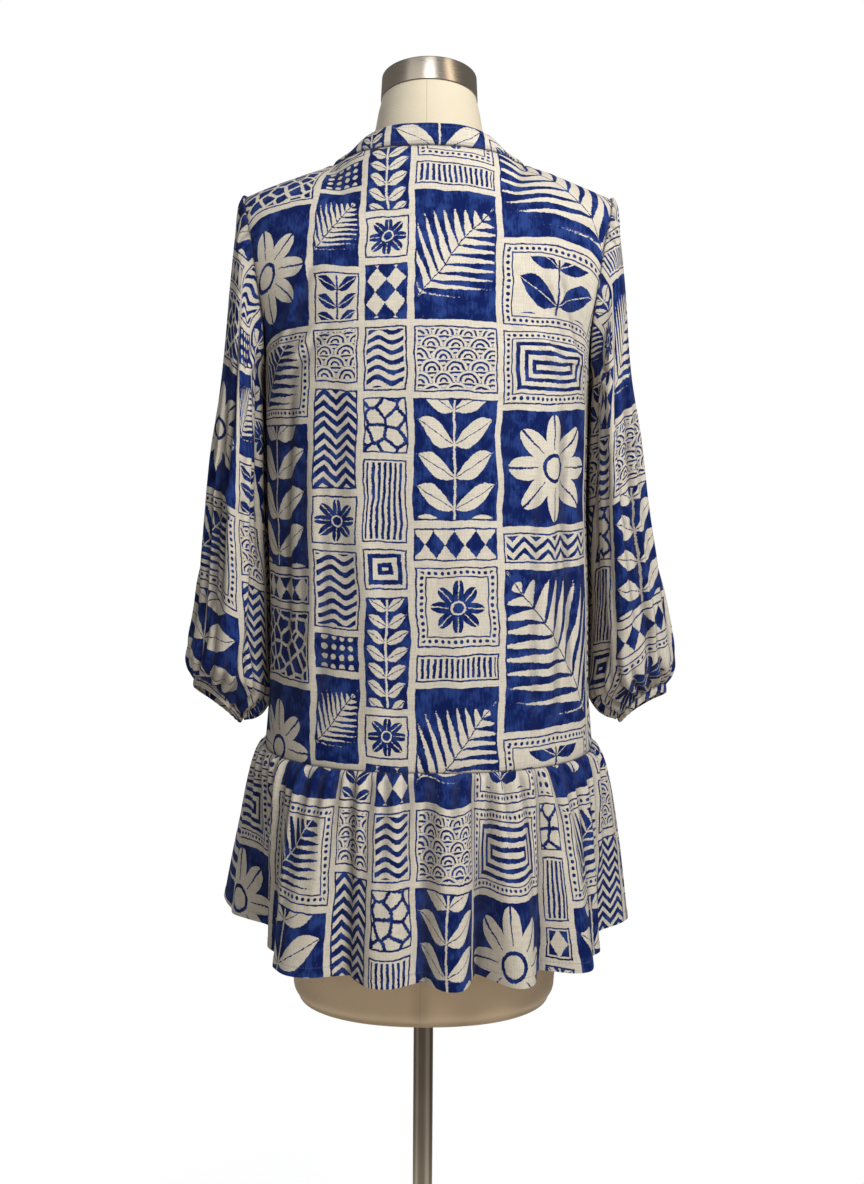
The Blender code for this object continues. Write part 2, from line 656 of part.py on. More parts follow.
def make_bodice(form, material):
    """Back and front panels and the neckband, whose edges share their slant at the neckline.
    The panels are returned with their normals for the sleeves."""
    grids = [whole_panel(1.0), whole_panel(-1.0)]
    band = band_grid(grids)
    band = np.concatenate([band, band[:, :1]], axis=1)
    rest_on(form, grids + [band], BAND / 2 + FORM_CLEAR)
    band = band[:, :-1]
    normals = shared_normals(grids)
    kept = [(grid.copy(), normal.copy()) for grid, normal in zip(grids, normals)]
    band_normal = grid_normals(band, True)
    slant = neck_ring(*normals) + band_normal[0]
    band_normal[0] = slant / np.linalg.norm(slant, axis=1, keepdims=True)
    middle = grids[0].shape[1] // 2
    neck = slice(middle - NECK_STEPS, middle + NECK_STEPS + 1)
    half = 2 * NECK_STEPS
    normals[0][-1, neck] = band_normal[0, :half + 1]
    normals[1][-1, neck] = np.concatenate([band_normal[0, half:], band_normal[0, :1]])
    for name, grid, normal in zip(("back_panel", "front_panel"), grids, normals):
        flat_normals(normal, 0)
        pull_edge(grid, row=0)
        pull_edge(grid, row=len(grid) - 1)
        pull_edge(grid, col=0)
        pull_edge(grid, col=grid.shape[1] - 1)
        wall(name, grid, CLOTH, material, normals=normal)
    pull_edge(band, row=0, distance=SEAM_GAP)
    wall("neckband", band, BAND, material, closed=True, normals=band_normal)
    return kept


# Sleeves and cuffs


def sleeve_turns():
    """Degrees round each sleeve section, from the underarm up the back and down the front."""
    arm = [180.0 + (YOKE_TURN - 180.0) * row / ARM_ROWS for row in range(ARM_ROWS + 1)]
    yoke = [YOKE_TURN * (1 - row / YOKE_ROWS) for row in range(1, YOKE_ROWS + 1)]
    back = arm + yoke
    return back + [-turn for turn in reversed(back[1:-1])]


def seam_loop(bodice, mirror):
    """Armhole seam points and normals, in the order of the sleeve's turns."""
    (back, back_normal), (front, front_normal) = bodice
    near = 0 if mirror > 0 else -1
    far = -1 if mirror > 0 else 0
    first = BODY_ROWS
    points = list(back[first:, near]) + list(front[first + 1:-1, far][::-1])
    normals = list(back_normal[first:, near]) + list(front_normal[first + 1:-1, far][::-1])
    inward = list(back[first:, near + 1 if near == 0 else near - 1])
    inward += list(front[first + 1:-1, far - 1 if far == -1 else far + 1][::-1])
    return np.array(points), np.array(normals), np.array(inward)


def section(row, turn, mirror):
    """Point of a sleeve section, given by name, at degrees round from its outer end."""
    across, along = oval(math.radians(turn), SLEEVE_SQUARE)
    x = (row["inner_x"] + row["outer_x"]) / 2 + (row["outer_x"] - row["inner_x"]) / 2 * along
    z = (row["inner_z"] + row["outer_z"]) / 2 + (row["outer_z"] - row["inner_z"]) / 2 * along
    y = row["depth"] * across
    return np.array([mirror * x, row["middle_y"] + y, z + row["lift"] * y])


def crease(table, ring, turn):
    """How far the long folds move a sleeve point in or out."""
    total = 0.0
    for row in table:
        fold = named(row, CREASE_COLUMNS)
        away = (turn - fold["turn"] + 180.0) % 360.0 - 180.0
        starts = ease(fold["first"] - 2, fold["first"] + 1, ring)
        ends = ease(fold["last"] - 1, fold["last"] + 2, ring)
        total += fold["depth"] * math.exp(-(away / fold["width"]) ** 2) * starts * (1 - ends)
    return total


def make_sleeve(name, bodice, table, creases, mirror, material):
    """A sleeve from its lap over the armhole to its gathered lower end."""
    turns = sleeve_turns()
    points, normals, inward = seam_loop(bodice, mirror)
    turned = np.abs(np.array(turns))[:, None]
    folded = ease(*FOLD_TURNS, turned) * (1 - ease(*UNFOLD_TURNS, turned))
    edge = points + normals * (CLOTH + SLEEVE_GAP + SLEEVE_FOLD * folded)
    onto = inward - points
    onto /= np.linalg.norm(onto, axis=1, keepdims=True)
    under = ease(*LAP_TURNS, turned)
    onto = onto * (1 - under) + np.array([0.0, 0.0, 1.0]) * under
    rings = [edge + onto * SLEEVE_LAP, edge + np.array([mirror * SLEEVE_STEP, 0.0, 0.0])]
    for ring, values in enumerate(table):
        row = named(values, SLEEVE_COLUMNS)
        centre = section(row, 0.0, mirror) / 2 + section(row, 180.0, mirror) / 2
        line = []
        for turn in turns:
            point = section(row, turn, mirror)
            out = point - centre
            out /= np.linalg.norm(out)
            gather = ease(len(table) - 4, len(table) - 1, ring) * CUFF_GATHER_DEPTH
            move = crease(creases, ring, turn) + gather * math.cos(math.radians(turn) * CUFF_GATHERS)
            line.append(point + out * move)
        rings.append(np.array(line))
    grid = np.array(rings[::-1])
    if mirror < 0:
        grid = grid[:, ::-1]
    wall(name, grid, CLOTH, material, closed=True)


def make_cuff(name, table, mirror, material):
    """A narrow band that the sleeve's end is gathered onto."""
    row = named(table[-1], SLEEVE_COLUMNS)
    shrink = (CLOTH + BAND) / 2 + SEAM_GAP + CUFF_GATHER_DEPTH
    length = math.hypot(row["outer_x"] - row["inner_x"], row["outer_z"] - row["inner_z"])
    for axis in "xz":
        step = (row["outer_" + axis] - row["inner_" + axis]) / length * shrink
        row["inner_" + axis] += step
        row["outer_" + axis] -= step
    row["depth"] -= shrink
    rings = []
    for drop in (CUFF_HEIGHT, CUFF_HEIGHT / 2, 0.0, -CUFF_TUCK):
        line = []
        for turn in sleeve_turns():
            point = section(row, turn, mirror)
            point[2] -= drop
            point[0] += mirror * drop * CUFF_LEAN
            line.append(point)
        rings.append(line)
    grid = np.array(rings)
    if mirror < 0:
        grid = grid[:, ::-1]
    wall(name, grid, BAND, material, closed=True)


# Flounce


def flounce_reach(folds, turn):
    """The hem's reach at degrees round from the centre back, swinging from fold to fold."""
    turns = column(folds, FOLD_COLUMNS, "turn")
    reach = column(folds, FOLD_COLUMNS, "reach")
    order = np.argsort(turns)
    turns = turns[order]
    reach = reach[order]
    index = int(np.clip(np.searchsorted(turns, turn) - 1, 0, len(turns) - 2))
    share = (turn - turns[index]) / (turns[index + 1] - turns[index])
    return reach[index] + (reach[index + 1] - reach[index]) * (1 - math.cos(math.pi * share)) / 2


def flounce_point(folds, turn, down):
    """Point of the flounce at degrees round and a share of the way from its seam to its hem."""
    angle = math.radians(turn)
    across, along = oval(angle, BODY_SQUARE)
    end = named(BODY[0], BODY_COLUMNS)
    seam = np.array([end["side"] * across, end["back" if abs(turn) <= 90.0 else "front"] * along])
    reach = flounce_reach(folds, turn)
    hem = np.array([FLOUNCE_SIDE * math.sin(angle), FLOUNCE_BACK * math.cos(angle)])
    length = (SEAM_Z - HEM_Z) * down
    swell = 1.0 - math.exp(-length / GATHER_START)
    gather = GATHER_DEPTH * swell * math.exp(-length / GATHER_FADE) * math.cos(2 * GATHERS * angle)
    out = np.array([math.sin(angle), math.cos(angle)])
    fold = hem * (reach - 1.0) * down ** FOLD_GROWTH
    point = seam + (hem - seam) * down ** FLARE + fold + out * gather
    return np.array([point[0], point[1], SEAM_Z - length])


def make_flounce(material):
    """Back and front halves of the gathered flounce, parted at the side seams."""
    grids = []
    shares = [(index / FLOUNCE_ROWS) ** ROW_CROWDING for index in range(FLOUNCE_ROWS, -1, -1)]
    for folds, start in ((BACK_FOLDS, 90.0), (FRONT_FOLDS, 270.0)):
        turns = [start - 180.0 * index / FLOUNCE_STEPS for index in range(FLOUNCE_STEPS + 1)]
        grids.append(np.array([[flounce_point(folds, turn, down) for turn in turns] for down in shares]))
    normals = shared_normals(grids)
    for name, grid, normal in zip(("flounce_back", "flounce_front"), grids, normals):
        top = len(grid) - 1
        flat_normals(normal, top)
        pull_edge(grid, row=top)
        pull_edge(grid, col=0)
        pull_edge(grid, col=grid.shape[1] - 1)
        wall(name, grid, CLOTH, material, normals=normal)


def main():
    for old in list(bpy.data.objects):
        bpy.data.objects.remove(old, do_unlink=True)
    cloth = make_material("printed_cloth", (0.30, 0.31, 0.38), 0.85)
    cream = make_material("form_cover", (0.84, 0.75, 0.57), 0.8)
    cap = make_material("brushed_steel", (0.62, 0.58, 0.53), 0.3, 1.0)
    pole = make_material("satin_steel", (0.42, 0.36, 0.31), 0.35, 1.0)
    base = make_material("painted_steel", (0.10, 0.095, 0.09), 0.5)
    form = make_form(cream)
    make_cap(cap)
    make_stand(pole, base)
    bodice = make_bodice(form, cloth)
    sides = (("left", LEFT_SLEEVE, LEFT_CREASES, 1.0), ("right", RIGHT_SLEEVE, RIGHT_CREASES, -1.0))
    for side, table, creases, mirror in sides:
        make_sleeve("sleeve_" + side, bodice, table, creases, mirror, cloth)
        make_cuff("cuff_" + side, table, mirror, cloth)
    make_flounce(cloth)


main()
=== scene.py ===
"""A long sleeve dress with a gathered hem flounce on a dress form, seen from behind: its cloth, print,
form and stand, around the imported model.

Metres, +Z up. The wearer's front looks along -Y and the wearer's left is +X.
"""
import math
from functools import partial

import bpy
import numpy as np
from mathutils import Matrix, Vector
from mathutils.bvhtree import BVHTree


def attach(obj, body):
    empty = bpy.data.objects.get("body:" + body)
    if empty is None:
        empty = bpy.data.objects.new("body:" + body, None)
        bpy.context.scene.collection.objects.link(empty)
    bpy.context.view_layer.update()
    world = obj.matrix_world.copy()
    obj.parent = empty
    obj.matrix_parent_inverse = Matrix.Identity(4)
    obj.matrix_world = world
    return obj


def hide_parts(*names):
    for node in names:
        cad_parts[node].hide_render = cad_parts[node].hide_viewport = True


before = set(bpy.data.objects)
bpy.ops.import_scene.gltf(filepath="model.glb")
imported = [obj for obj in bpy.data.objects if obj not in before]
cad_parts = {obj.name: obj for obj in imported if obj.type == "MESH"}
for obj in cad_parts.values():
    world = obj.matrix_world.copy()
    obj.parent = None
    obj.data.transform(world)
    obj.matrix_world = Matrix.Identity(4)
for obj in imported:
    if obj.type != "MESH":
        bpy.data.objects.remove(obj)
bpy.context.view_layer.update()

# The tables up to the scene's own values, and the functions up to the finer grids, repeat the part's,
# so that each piece lies where its solid does

# Cloth
CLOTH = 0.0015            # wall of every cloth panel
BAND = 0.0022             # wall of the doubled neckband and cuffs
SEAM_GAP = 0.0003         # between neighbouring pieces
SLEEVE_FOLD = 0.0014      # further out where the sleeve folds down beside the underarm
SLEEVE_STEP = 0.0012      # how far a sleeve then steps out beside that edge
LAP_TURNS = (95.0, 150.0)       # degrees round the armhole where the lap swings from inwards to upwards
FOLD_TURNS = (85.0, 115.0)      # where the sleeve starts to lie further out
UNFOLD_TURNS = (160.0, 180.0)   # where it comes back in, at the underarm
FORM_CLEAR = 0.0004       # cloth's inner face to the dress form, at its closest points
SAME_PLACE = 5            # decimals of a metre to which two grid points are one

# Heights above the floor
SEAM_Z = 0.795            # seam between the bodice and the flounce
HEM_Z = 0.5955            # hem of the flounce
UNDERARM_Z = 1.205
SHOULDER_Z = 1.400        # shoulder tip

# Bodice
SHOULDER_X = 0.2045       # shoulder tip from the centre
SIDE_X = 0.1795           # side seam at the underarm
ARM_DEPTH = 0.066         # half the armhole, front to back
NECK_X = 0.106            # where the neckline meets the shoulder seam
NECK_Y = 0.004
NECK_Z = 1.4345
NECK_SHARE = 0.36         # share of each panel's half width that ends at the neckline
NECK_STEPS = 8            # columns of a panel from its centre to the neckline's side
SHOULDER_STEPS = 6        # columns along one shoulder seam
BODY_ROWS = 7             # rows from the flounce seam up to the underarm
ARM_ROWS = 8              # rows from the underarm up to the yoke line
YOKE_ROWS = 6             # rows from the yoke line over the shoulder
ROUND_BACK = 0.55         # how rounded the upper back is; the shoulder tip is fully rounded, 1
ROUND_FRONT = 0.35        # how rounded the front is at the neckline's side
YOKE_TURN = 60.0          # yoke line, as degrees round the armhole from the shoulder tip
BODY_SQUARE = 2.3         # exponent of the body's oval sections
OVAL_TURNS = (120.0, 180.0)     # degrees round the armhole where a panel's rows take on that oval
ROW_BOW = 1.5             # how late a row climbs between the neckline's side and the armhole
SHOULDER_RISE = 0.0030    # bow of the shoulder seam over the form's shoulder

# Sections of the bodice: height, half width, depth behind and in front of the side seam
BODY_COLUMNS = ("z", "side", "back", "front")
BODY = (
    (0.795, 0.1815, 0.1480, 0.1450),
    (0.850, 0.1775, 0.1440, 0.1420),
    (0.950, 0.1765, 0.1420, 0.1410),
    (1.080, 0.1770, 0.1390, 0.1400),
    (1.205, 0.1795, 0.1340, 0.1340),
)

# Armhole: degrees round from the shoulder tip, and distance from the centre
ARMHOLE_COLUMNS = ("turn", "x")
ARMHOLE = (
    (0.0, SHOULDER_X), (30.0, 0.2015), (60.0, 0.1930), (90.0, 0.1845), (120.0, 0.1768),
    (150.0, 0.1768), (180.0, SIDE_X),
)

# Rows of a panel beside the armhole: degrees round the armhole, depth and height at the centre,
# height where the neckline's side comes down to, and how far round the oval the row reaches
ARM_COLUMNS = ("turn", "middle_y", "middle_z", "side_z", "reach")
BACK_ARM = (
    (180.0, 0.1340, 1.205, 1.205, 90.0),
    (150.0, 0.1310, 1.242, 1.238, 78.0),
    (115.0, 0.1250, 1.285, 1.280, 66.0),
    (85.0, 0.1140, 1.325, 1.322, 60.0),
    (60.0, 0.1010, 1.362, 1.364, 56.0),
)
FRONT_ARM = (
    (180.0, 0.1340, 1.168, 1.205, 90.0),
    (150.0, 0.1350, 1.188, 1.236, 78.0),
    (115.0, 0.1345, 1.207, 1.278, 66.0),
    (85.0, 0.1325, 1.224, 1.318, 60.0),
    (60.0, 0.1305, 1.240, 1.356, 56.0),
)

# Neckline seam from its centre to its side: share of the way, across, depth and height
NECKLINE_COLUMNS = ("share", "x", "y", "z")
BACK_NECKLINE = (
    (0.00, 0.0000, 0.0680, 1.4490),
    (0.35, 0.0430, 0.0620, 1.4480),
    (0.70, 0.0800, 0.0400, 1.4440),
    (1.00, NECK_X, NECK_Y, NECK_Z),
)
FRONT_NECKLINE = (
    (0.00, 0.0000, -0.1270, 1.2620),
    (0.25, 0.0350, -0.1170, 1.3130),
    (0.55, 0.0740, -0.0850, 1.3720),
    (0.80, 0.0980, -0.0420, 1.4150),
    (1.00, NECK_X, NECK_Y, NECK_Z),
)
# Free edge of the neckband, by the same shares
BACK_BAND_EDGE = (
    (0.00, 0.0000, 0.0590, 1.4740),
    (0.35, 0.0380, 0.0530, 1.4725),
    (0.70, 0.0685, 0.0310, 1.4640),
    (1.00, 0.0870, -0.0020, 1.4500),
)
FRONT_BAND_EDGE = (
    (0.00, 0.0000, -0.1200, 1.3010),
    (0.25, 0.0230, -0.1090, 1.3380),
    (0.55, 0.0540, -0.0780, 1.3900),
    (0.80, 0.0780, -0.0410, 1.4270),
    (1.00, 0.0870, -0.0020, 1.4500),
)
BAND_ROWS = 3

# Flounce: folds as degrees round from the centre back (the wearer's left is positive)
# and the hem's distance from the centre, as a share of the plain oval
FLOUNCE_SIDE = 0.2240
FLOUNCE_BACK = 0.1800
FOLD_COLUMNS = ("turn", "reach")
BACK_FOLDS = (
    (90.0, 0.98), (72.0, 0.79), (57.0, 0.97), (34.0, 1.11), (21.0, 0.965), (11.5, 1.11), (1.0, 0.985),
    (-6.5, 1.13), (-14.0, 0.89), (-22.0, 1.15), (-31.5, 0.95), (-40.5, 1.11), (-52.0, 1.02),
    (-71.0, 0.87), (-90.0, 1.00),
)
FRONT_FOLDS = (
    (90.0, 0.98), (106.0, 1.08), (118.0, 0.92), (130.0, 1.10), (141.0, 0.94), (151.0, 1.09),
    (162.0, 0.95), (172.0, 1.12), (183.0, 0.93), (194.0, 1.10), (205.0, 0.97), (216.0, 1.12),
    (229.0, 0.92), (242.0, 1.08), (256.0, 0.90), (270.0, 1.00),
)
FLARE = 0.50              # under 1, the flounce springs out just below the seam
FOLD_GROWTH = 0.85        # how evenly the folds deepen from the seam to the hem

# Left sleeve: each section's inner and outer ends, its half depth, its middle's depth and
# how much its back edge is lifted
SLEEVE_COLUMNS = ("inner_x", "inner_z", "outer_x", "outer_z", "depth", "middle_y", "lift")
LEFT_SLEEVE = (
    (0.1822, 1.1930, 0.2095, 1.3880, 0.0675, 0.000, 0.0),
    (0.1820, 1.1750, 0.2135, 1.3570, 0.0700, -0.001, 0.0),
    (0.1815, 1.1450, 0.2185, 1.3050, 0.0740, -0.002, 0.0),
    (0.1805, 1.1000, 0.2255, 1.2250, 0.0770, -0.004, 0.0),
    (0.1800, 1.0400, 0.2360, 1.1350, 0.0790, -0.006, 0.0),
    (0.1797, 0.9800, 0.2450, 1.0500, 0.0790, -0.007, 0.0),
    (0.1797, 0.9300, 0.2540, 0.9850, 0.0770, -0.008, 0.0),
    (0.1800, 0.8880, 0.2620, 0.9300, 0.0730, -0.008, 0.05),
    (0.1805, 0.8570, 0.2680, 0.8950, 0.0670, -0.007, 0.12),
    (0.1835, 0.8350, 0.2700, 0.8770, 0.0570, -0.006, 0.22),
    (0.1920, 0.8230, 0.2695, 0.8690, 0.0460, -0.004, 0.32),
    (0.2050, 0.8215, 0.2680, 0.8635, 0.0360, -0.002, 0.40),
)
RIGHT_SLEEVE = (
    (0.1822, 1.1930, 0.2090, 1.3880, 0.0675, 0.000, 0.0),
    (0.1820, 1.1750, 0.2125, 1.3570, 0.0700, -0.001, 0.0),
    (0.1815, 1.1450, 0.2180, 1.3050, 0.0740, -0.002, 0.0),
    (0.1805, 1.1000, 0.2240, 1.2250, 0.0770, -0.004, 0.0),
    (0.1800, 1.0400, 0.2350, 1.1350, 0.0790, -0.006, 0.0),
    (0.1797, 0.9800, 0.2460, 1.0500, 0.0790, -0.007, 0.0),
    (0.1797, 0.9300, 0.2560, 0.9850, 0.0770, -0.008, 0.0),
    (0.1800, 0.8880, 0.2660, 0.9300, 0.0730, -0.008, 0.05),
    (0.1808, 0.8580, 0.2710, 0.8890, 0.0670, -0.007, 0.10),
    (0.1845, 0.8350, 0.2720, 0.8700, 0.0570, -0.006, 0.18),
    (0.1945, 0.8230, 0.2715, 0.8610, 0.0460, -0.004, 0.26),
    (0.2075, 0.8205, 0.2700, 0.8555, 0.0360, -0.002, 0.32),
)
SLEEVE_SQUARE = 2.2
# Long folds of a sleeve: degrees round the section, width in degrees, depth (inwards below zero),
# and the sections between which the fold lies
CREASE_COLUMNS = ("turn", "width", "depth", "first", "last")
LEFT_CREASES = (
    (62.0, 16.0, -0.0090, 3, 8),
    (96.0, 15.0, 0.0050, 4, 8),
    (130.0, 16.0, -0.0080, 2, 7),
    (-70.0, 18.0, -0.0080, 3, 8),
    (-125.0, 18.0, -0.0070, 3, 7),
)
RIGHT_CREASES = (
    (70.0, 16.0, -0.0080, 3, 8),
    (104.0, 15.0, 0.0050, 4, 8),
    (138.0, 16.0, -0.0090, 2, 7),
    (-60.0, 18.0, -0.0080, 3, 8),
    (-118.0, 18.0, -0.0070, 3, 7),
)
# Sleeve ends and cuffs
CUFF_GATHER_DEPTH = 0.0016
CUFF_HEIGHT = 0.0110
CUFF_TUCK = 0.0030        # how far the cuff reaches up into the sleeve
CUFF_LEAN = 0.15          # outward drift of the cuff for each metre down

# How the cloth is lifted clear of the dress form: cuts of each cell, passes and search distance
REST_CUTS = 3
REST_PASSES = 8
REST_REACH = 0.03

# Dress form: height, half width, back and front depth, exponent, tilt of the ring's back
FORM_COLUMNS = ("z", "side", "back", "front", "square", "tilt")
FORM = (
    (0.5070, 0.1180, 0.0720, -0.0700, 2.2, 0.0),
    (0.5095, 0.1310, 0.0860, -0.0840, 2.2, 0.0),
    (0.5180, 0.1410, 0.0960, -0.0930, 2.2, 0.0),
    (0.5400, 0.1465, 0.1020, -0.0990, 2.2, 0.0),
    (0.6200, 0.1500, 0.1070, -0.1040, 2.2, 0.0),
    (0.7200, 0.1580, 0.1130, -0.1080, 2.2, 0.0),
    (0.8200, 0.1640, 0.1180, -0.1100, 2.2, 0.0),
    (0.9200, 0.1500, 0.1060, -0.1040, 2.2, 0.0),
    (1.0200, 0.1210, 0.0840, -0.0940, 2.1, 0.0),
    (1.1200, 0.1330, 0.0920, -0.1080, 2.1, 0.0),
    (1.2200, 0.1480, 0.1030, -0.1200, 2.1, 0.0),
    (1.3000, 0.1540, 0.1020, -0.1080, 2.1, 0.0),
    (1.3500, 0.1650, 0.0900, -0.0880, 2.0, 0.0),
    (1.3800, 0.1740, 0.0740, -0.0690, 2.0, 0.0),
    (1.3960, 0.1690, 0.0660, -0.0580, 2.0, 0.0),
    (1.4080, 0.1540, 0.0625, -0.0530, 2.0, 0.0),
    (1.4200, 0.1270, 0.0600, -0.0520, 2.0, 0.0),
    (1.4320, 0.0990, 0.0580, -0.0540, 2.0, 0.03),
    (1.4430, 0.0780, 0.0560, -0.0570, 2.0, 0.08),
    (1.4560, 0.0660, 0.0530, -0.0610, 2.0, 0.14),
    (1.4760, 0.0610, 0.0480, -0.0670, 2.0, 0.20),
    (1.4980, 0.0575, 0.0400, -0.0710, 2.0, 0.24),
    (1.5180, 0.0545, 0.0330, -0.0740, 2.0, 0.25),
)

# Stand
POLE_RADIUS = 0.0110
BASE_RADIUS = 0.1800
BASE_THICKNESS = 0.0080


# The scene's own values, in metres and degrees unless a line says otherwise
MM = 0.001
FULL_TURN = 2 * math.pi

# Camera, fitted to the photo at 864 x 1184 pixels
CAMERA_PLACE = (-0.0055, 1.517, 1.154)
CAMERA_TILT = 0.473       # down
CAMERA_PAN = 0.0          # to the left of the picture
CAMERA_ROLL = 0.36        # clockwise
CAMERA_LENS = 41.10       # in millimetres, as the sensor is
CAMERA_SENSOR = 36.0
CAMERA_SHIFT = (0.0, -0.1357)

# How much finer each piece is than its solid, along its rows and its columns
PANEL_FINER = (7, 6)
SLEEVE_FINER = (8, 8)
CUFF_FINER = (6, 14)
BAND_FINER = (8, 10)
FORM_FINER = 6
FLOUNCE_FINE = (66, 400)  # rows and columns of each half of the flounce
FLOUNCE_CROWDING = 1.25   # over 1, its rows crowd towards the seam
RING_SIDES = 96           # points round the form and the cap
CLOTH_SHARP = 50.0        # an edge of the form that turns further than this is a sharp one

# Cloth
SHELL = 0.0012            # thickness of one layer
BAND_THICK = 0.0024
CUFF_THICK = 0.0020
EDGE_THINNER = 0.0008     # how much thinner a rounded free edge is
BAND_ROUND = 0.0012       # over which distance, on the band and on a sleeve
SLEEVE_ROUND = 0.0016
HEM_FOLD = 0.0010         # extra thickness of a folded hem
HEM_TURN = 0.009          # height of the folded hem
HEM_EDGE = 0.0008         # over which it ends
CLEAR = 0.0019            # least distance from the middle of the cloth to the form under it
CLEAR_MOST = 0.1          # room where the form is further away than the search goes
ROLL_DEPTH = 0.0011       # roll into a seam: how deep, and over which distance
ROLL_REACH = 0.0028
SIDE_ROLL = 0.0009        # its depth at a panel's sides
SEAM_ROLL = 0.0012        # and at the top of the flounce
BAND_ROLL = (0.0012, 0.0022)    # depth and distance on the band
BAND_CROWN = 0.0004       # how far the band's middle stands out
HOLLOW_REACH = 0.0055     # how far away a point's neighbours are taken, to find the hollows of folds
HOLLOW_DEPTH = 0.0014     # depth below them at which a hollow is fully shaded
HOLLOW_SHADE = 0.42       # how dark that shade is

# How the dress hangs
SWAY = 0.0040             # how far it hangs to its own right, below the waist
SWAY_HEIGHTS = (0.93, 1.08)
SHOULDER_LIFTS = ((-0.125, 0.0045), (0.118, 0.0025))    # place across and lift
SHOULDER_WIDTH = 0.030
SHOULDER_HEIGHTS = (1.33, 1.40)

# Sleeves and cuffs
LAP = 0.0026              # how far a sleeve's edge reaches over the armhole's
LAP_SINK = 0.0004         # how far that edge sinks towards the panel
SLEEVE_AIR = 0.0002       # between a sleeve's edge and the panel under it
STEP_SHARE = 0.6          # share of the solid's step beside the armhole
SLEEVE_DEGREE = 0.0013    # metres in a degree round a sleeve, for the widths of its folds
WRIST_GATHER = 0.0024     # height of the gathers at the lower end
WRIST_PUFF = 0.0018       # how far the cloth puffs out above them
HEAD_PUCKER = 0.0015      # height of the puckers at the sleeve's head
WRIST_PULL = 0.0032       # how far the cuffs are drawn in
END_PULL = 0.0050         # how far the sleeves' ends are drawn in onto the cuffs
SLEEVE_LIFT = 1.4         # how many times further than the cuff the sleeve's end is lifted
HEAD_FADE = (0.0, 0.05)         # distances from the head and the end over which the folds die away
END_FADE = (-0.004, 0.02)
GATHER_START = (-0.006, 0.010)  # heights over which the gathers begin and die away
GATHER_FADE = (0.008, 0.075)
PUFF_PLACE = (0.034, 0.020)     # height and width of the puff
PUCKER_PLACE = (0.012, 0.014)   # distance from the head, and width, of the puckers
PUCKER_TURNS = (40, 85)         # how far round they die away
PULL_LENGTH = 0.020       # height over which the pull and the lift of the end die away
LIFT_LENGTH = 0.070
# Waves round a tube: share of their height, count, start, and a wobble with its own count and start
WAVES = ("share", "count", "start", "wobble", "wobbles", "wobble_start")
WRIST_WAVES = ((1.0, 17, 0.0, 0.9, 3, 1.0), (0.6, 27, 2.0, 0.0, 0, 0.0))
HEAD_WAVES = ((1.0, 34, 0.0, 1.3, 5, 0.0),)
CUFF_WAVES = ((1.0, 23, 0.0, 1.0, 4, 0.0),)
CUFF_RIDGE = 0.0005       # height of a cuff's fine ridges
CUFF_CROWN = 0.0006       # how far its middle stands out
CUFF_MIDDLE = 0.006
# Each sleeve's end: inner ends of the two sections above the last, how far the outer side of the end
# is lifted, its middle arches up and its inner side drops, and how far the cuff rises there
WRIST_COLUMNS = ("inner", "lift", "arch", "drop", "rise")
WRISTS = {
    "left": (((0.1832, 0.8425), (0.1938, 0.8288)), 0.0015, 0.0045, 0.0050, 0.0000),
    "right": (((0.1852, 0.8445), (0.1965, 0.8303)), 0.0060, 0.0060, 0.0010, 0.0040),
}

# Flounce
SIDE_FOLDS = {72.0: (67.0, 0.80), 57.0: (50.0, 0.93), -52.0: (-51.0, 0.985), -71.0: (-69.0, 0.86)}
FLOUNCE_SINK = 0.0034     # how far the cloth between the gathers sinks below the seam
FLOUNCE_SINK_FADE = 0.070
GATHER_SWELL = 0.006      # length over which a gather swells below the seam
GATHER_GROWTH = 2.1       # how much higher and longer than in the tables the gathers are drawn
FOLD_ROUND = 0.72         # under 1, folds are rounder than the hollows between them
HEM_RISES = (0.009, 0.004)      # how far the hem rises at the wearer's left and right side
HEM_RISE_TURN = 76.0      # how far out from the middle that is, and how wide
HEM_RISE_WIDTH = 20.0

# Form and stand
FORM_INSET = 0.0012       # smooth form under the cloth, inside the solid's facets
FORM_INSET_FROM = (0.60, 0.64)
FORM_INSET_TO = (1.44, 1.46)
NECK_INSET = 0.0012       # how much narrower the neck's top is, under the cap
NECK_INSET_FROM = (1.495, 1.514)
NECK_TOP = 1.5147 + 0.25 * 0.0205   # height of the neck's slanted top where it crosses the middle
POLE_IN_FORM = 0.08       # depth of the pole's hole
CAP_DROP = 0.0033         # how far the cap reaches down over the neck
CAP_TALL = 0.0282
# Profiles of the stand: radius and height
CAP_PROFILE = (
    (0.0515, 0.0), (0.0545, 0.0001), (0.0549, 0.0007), (0.0539, CAP_TALL - 0.0013),
    (0.0537, CAP_TALL - 0.0006), (0.0532, CAP_TALL - 0.0001), (0.0525, CAP_TALL), (0.030, CAP_TALL),
)
POLE_PROFILE = (
    (POLE_RADIUS, BASE_THICKNESS + SEAM_GAP), (POLE_RADIUS, FORM[0][0] + POLE_IN_FORM - SEAM_GAP),
)
BASE_PROFILE = (
    (BASE_RADIUS - 0.0006, 0.0), (BASE_RADIUS, 0.0006), (BASE_RADIUS, BASE_THICKNESS - 0.002),
    (BASE_RADIUS - 0.0006, BASE_THICKNESS - 0.0006), (BASE_RADIUS - 0.002, BASE_THICKNESS),
    (0.03, BASE_THICKNESS),
)
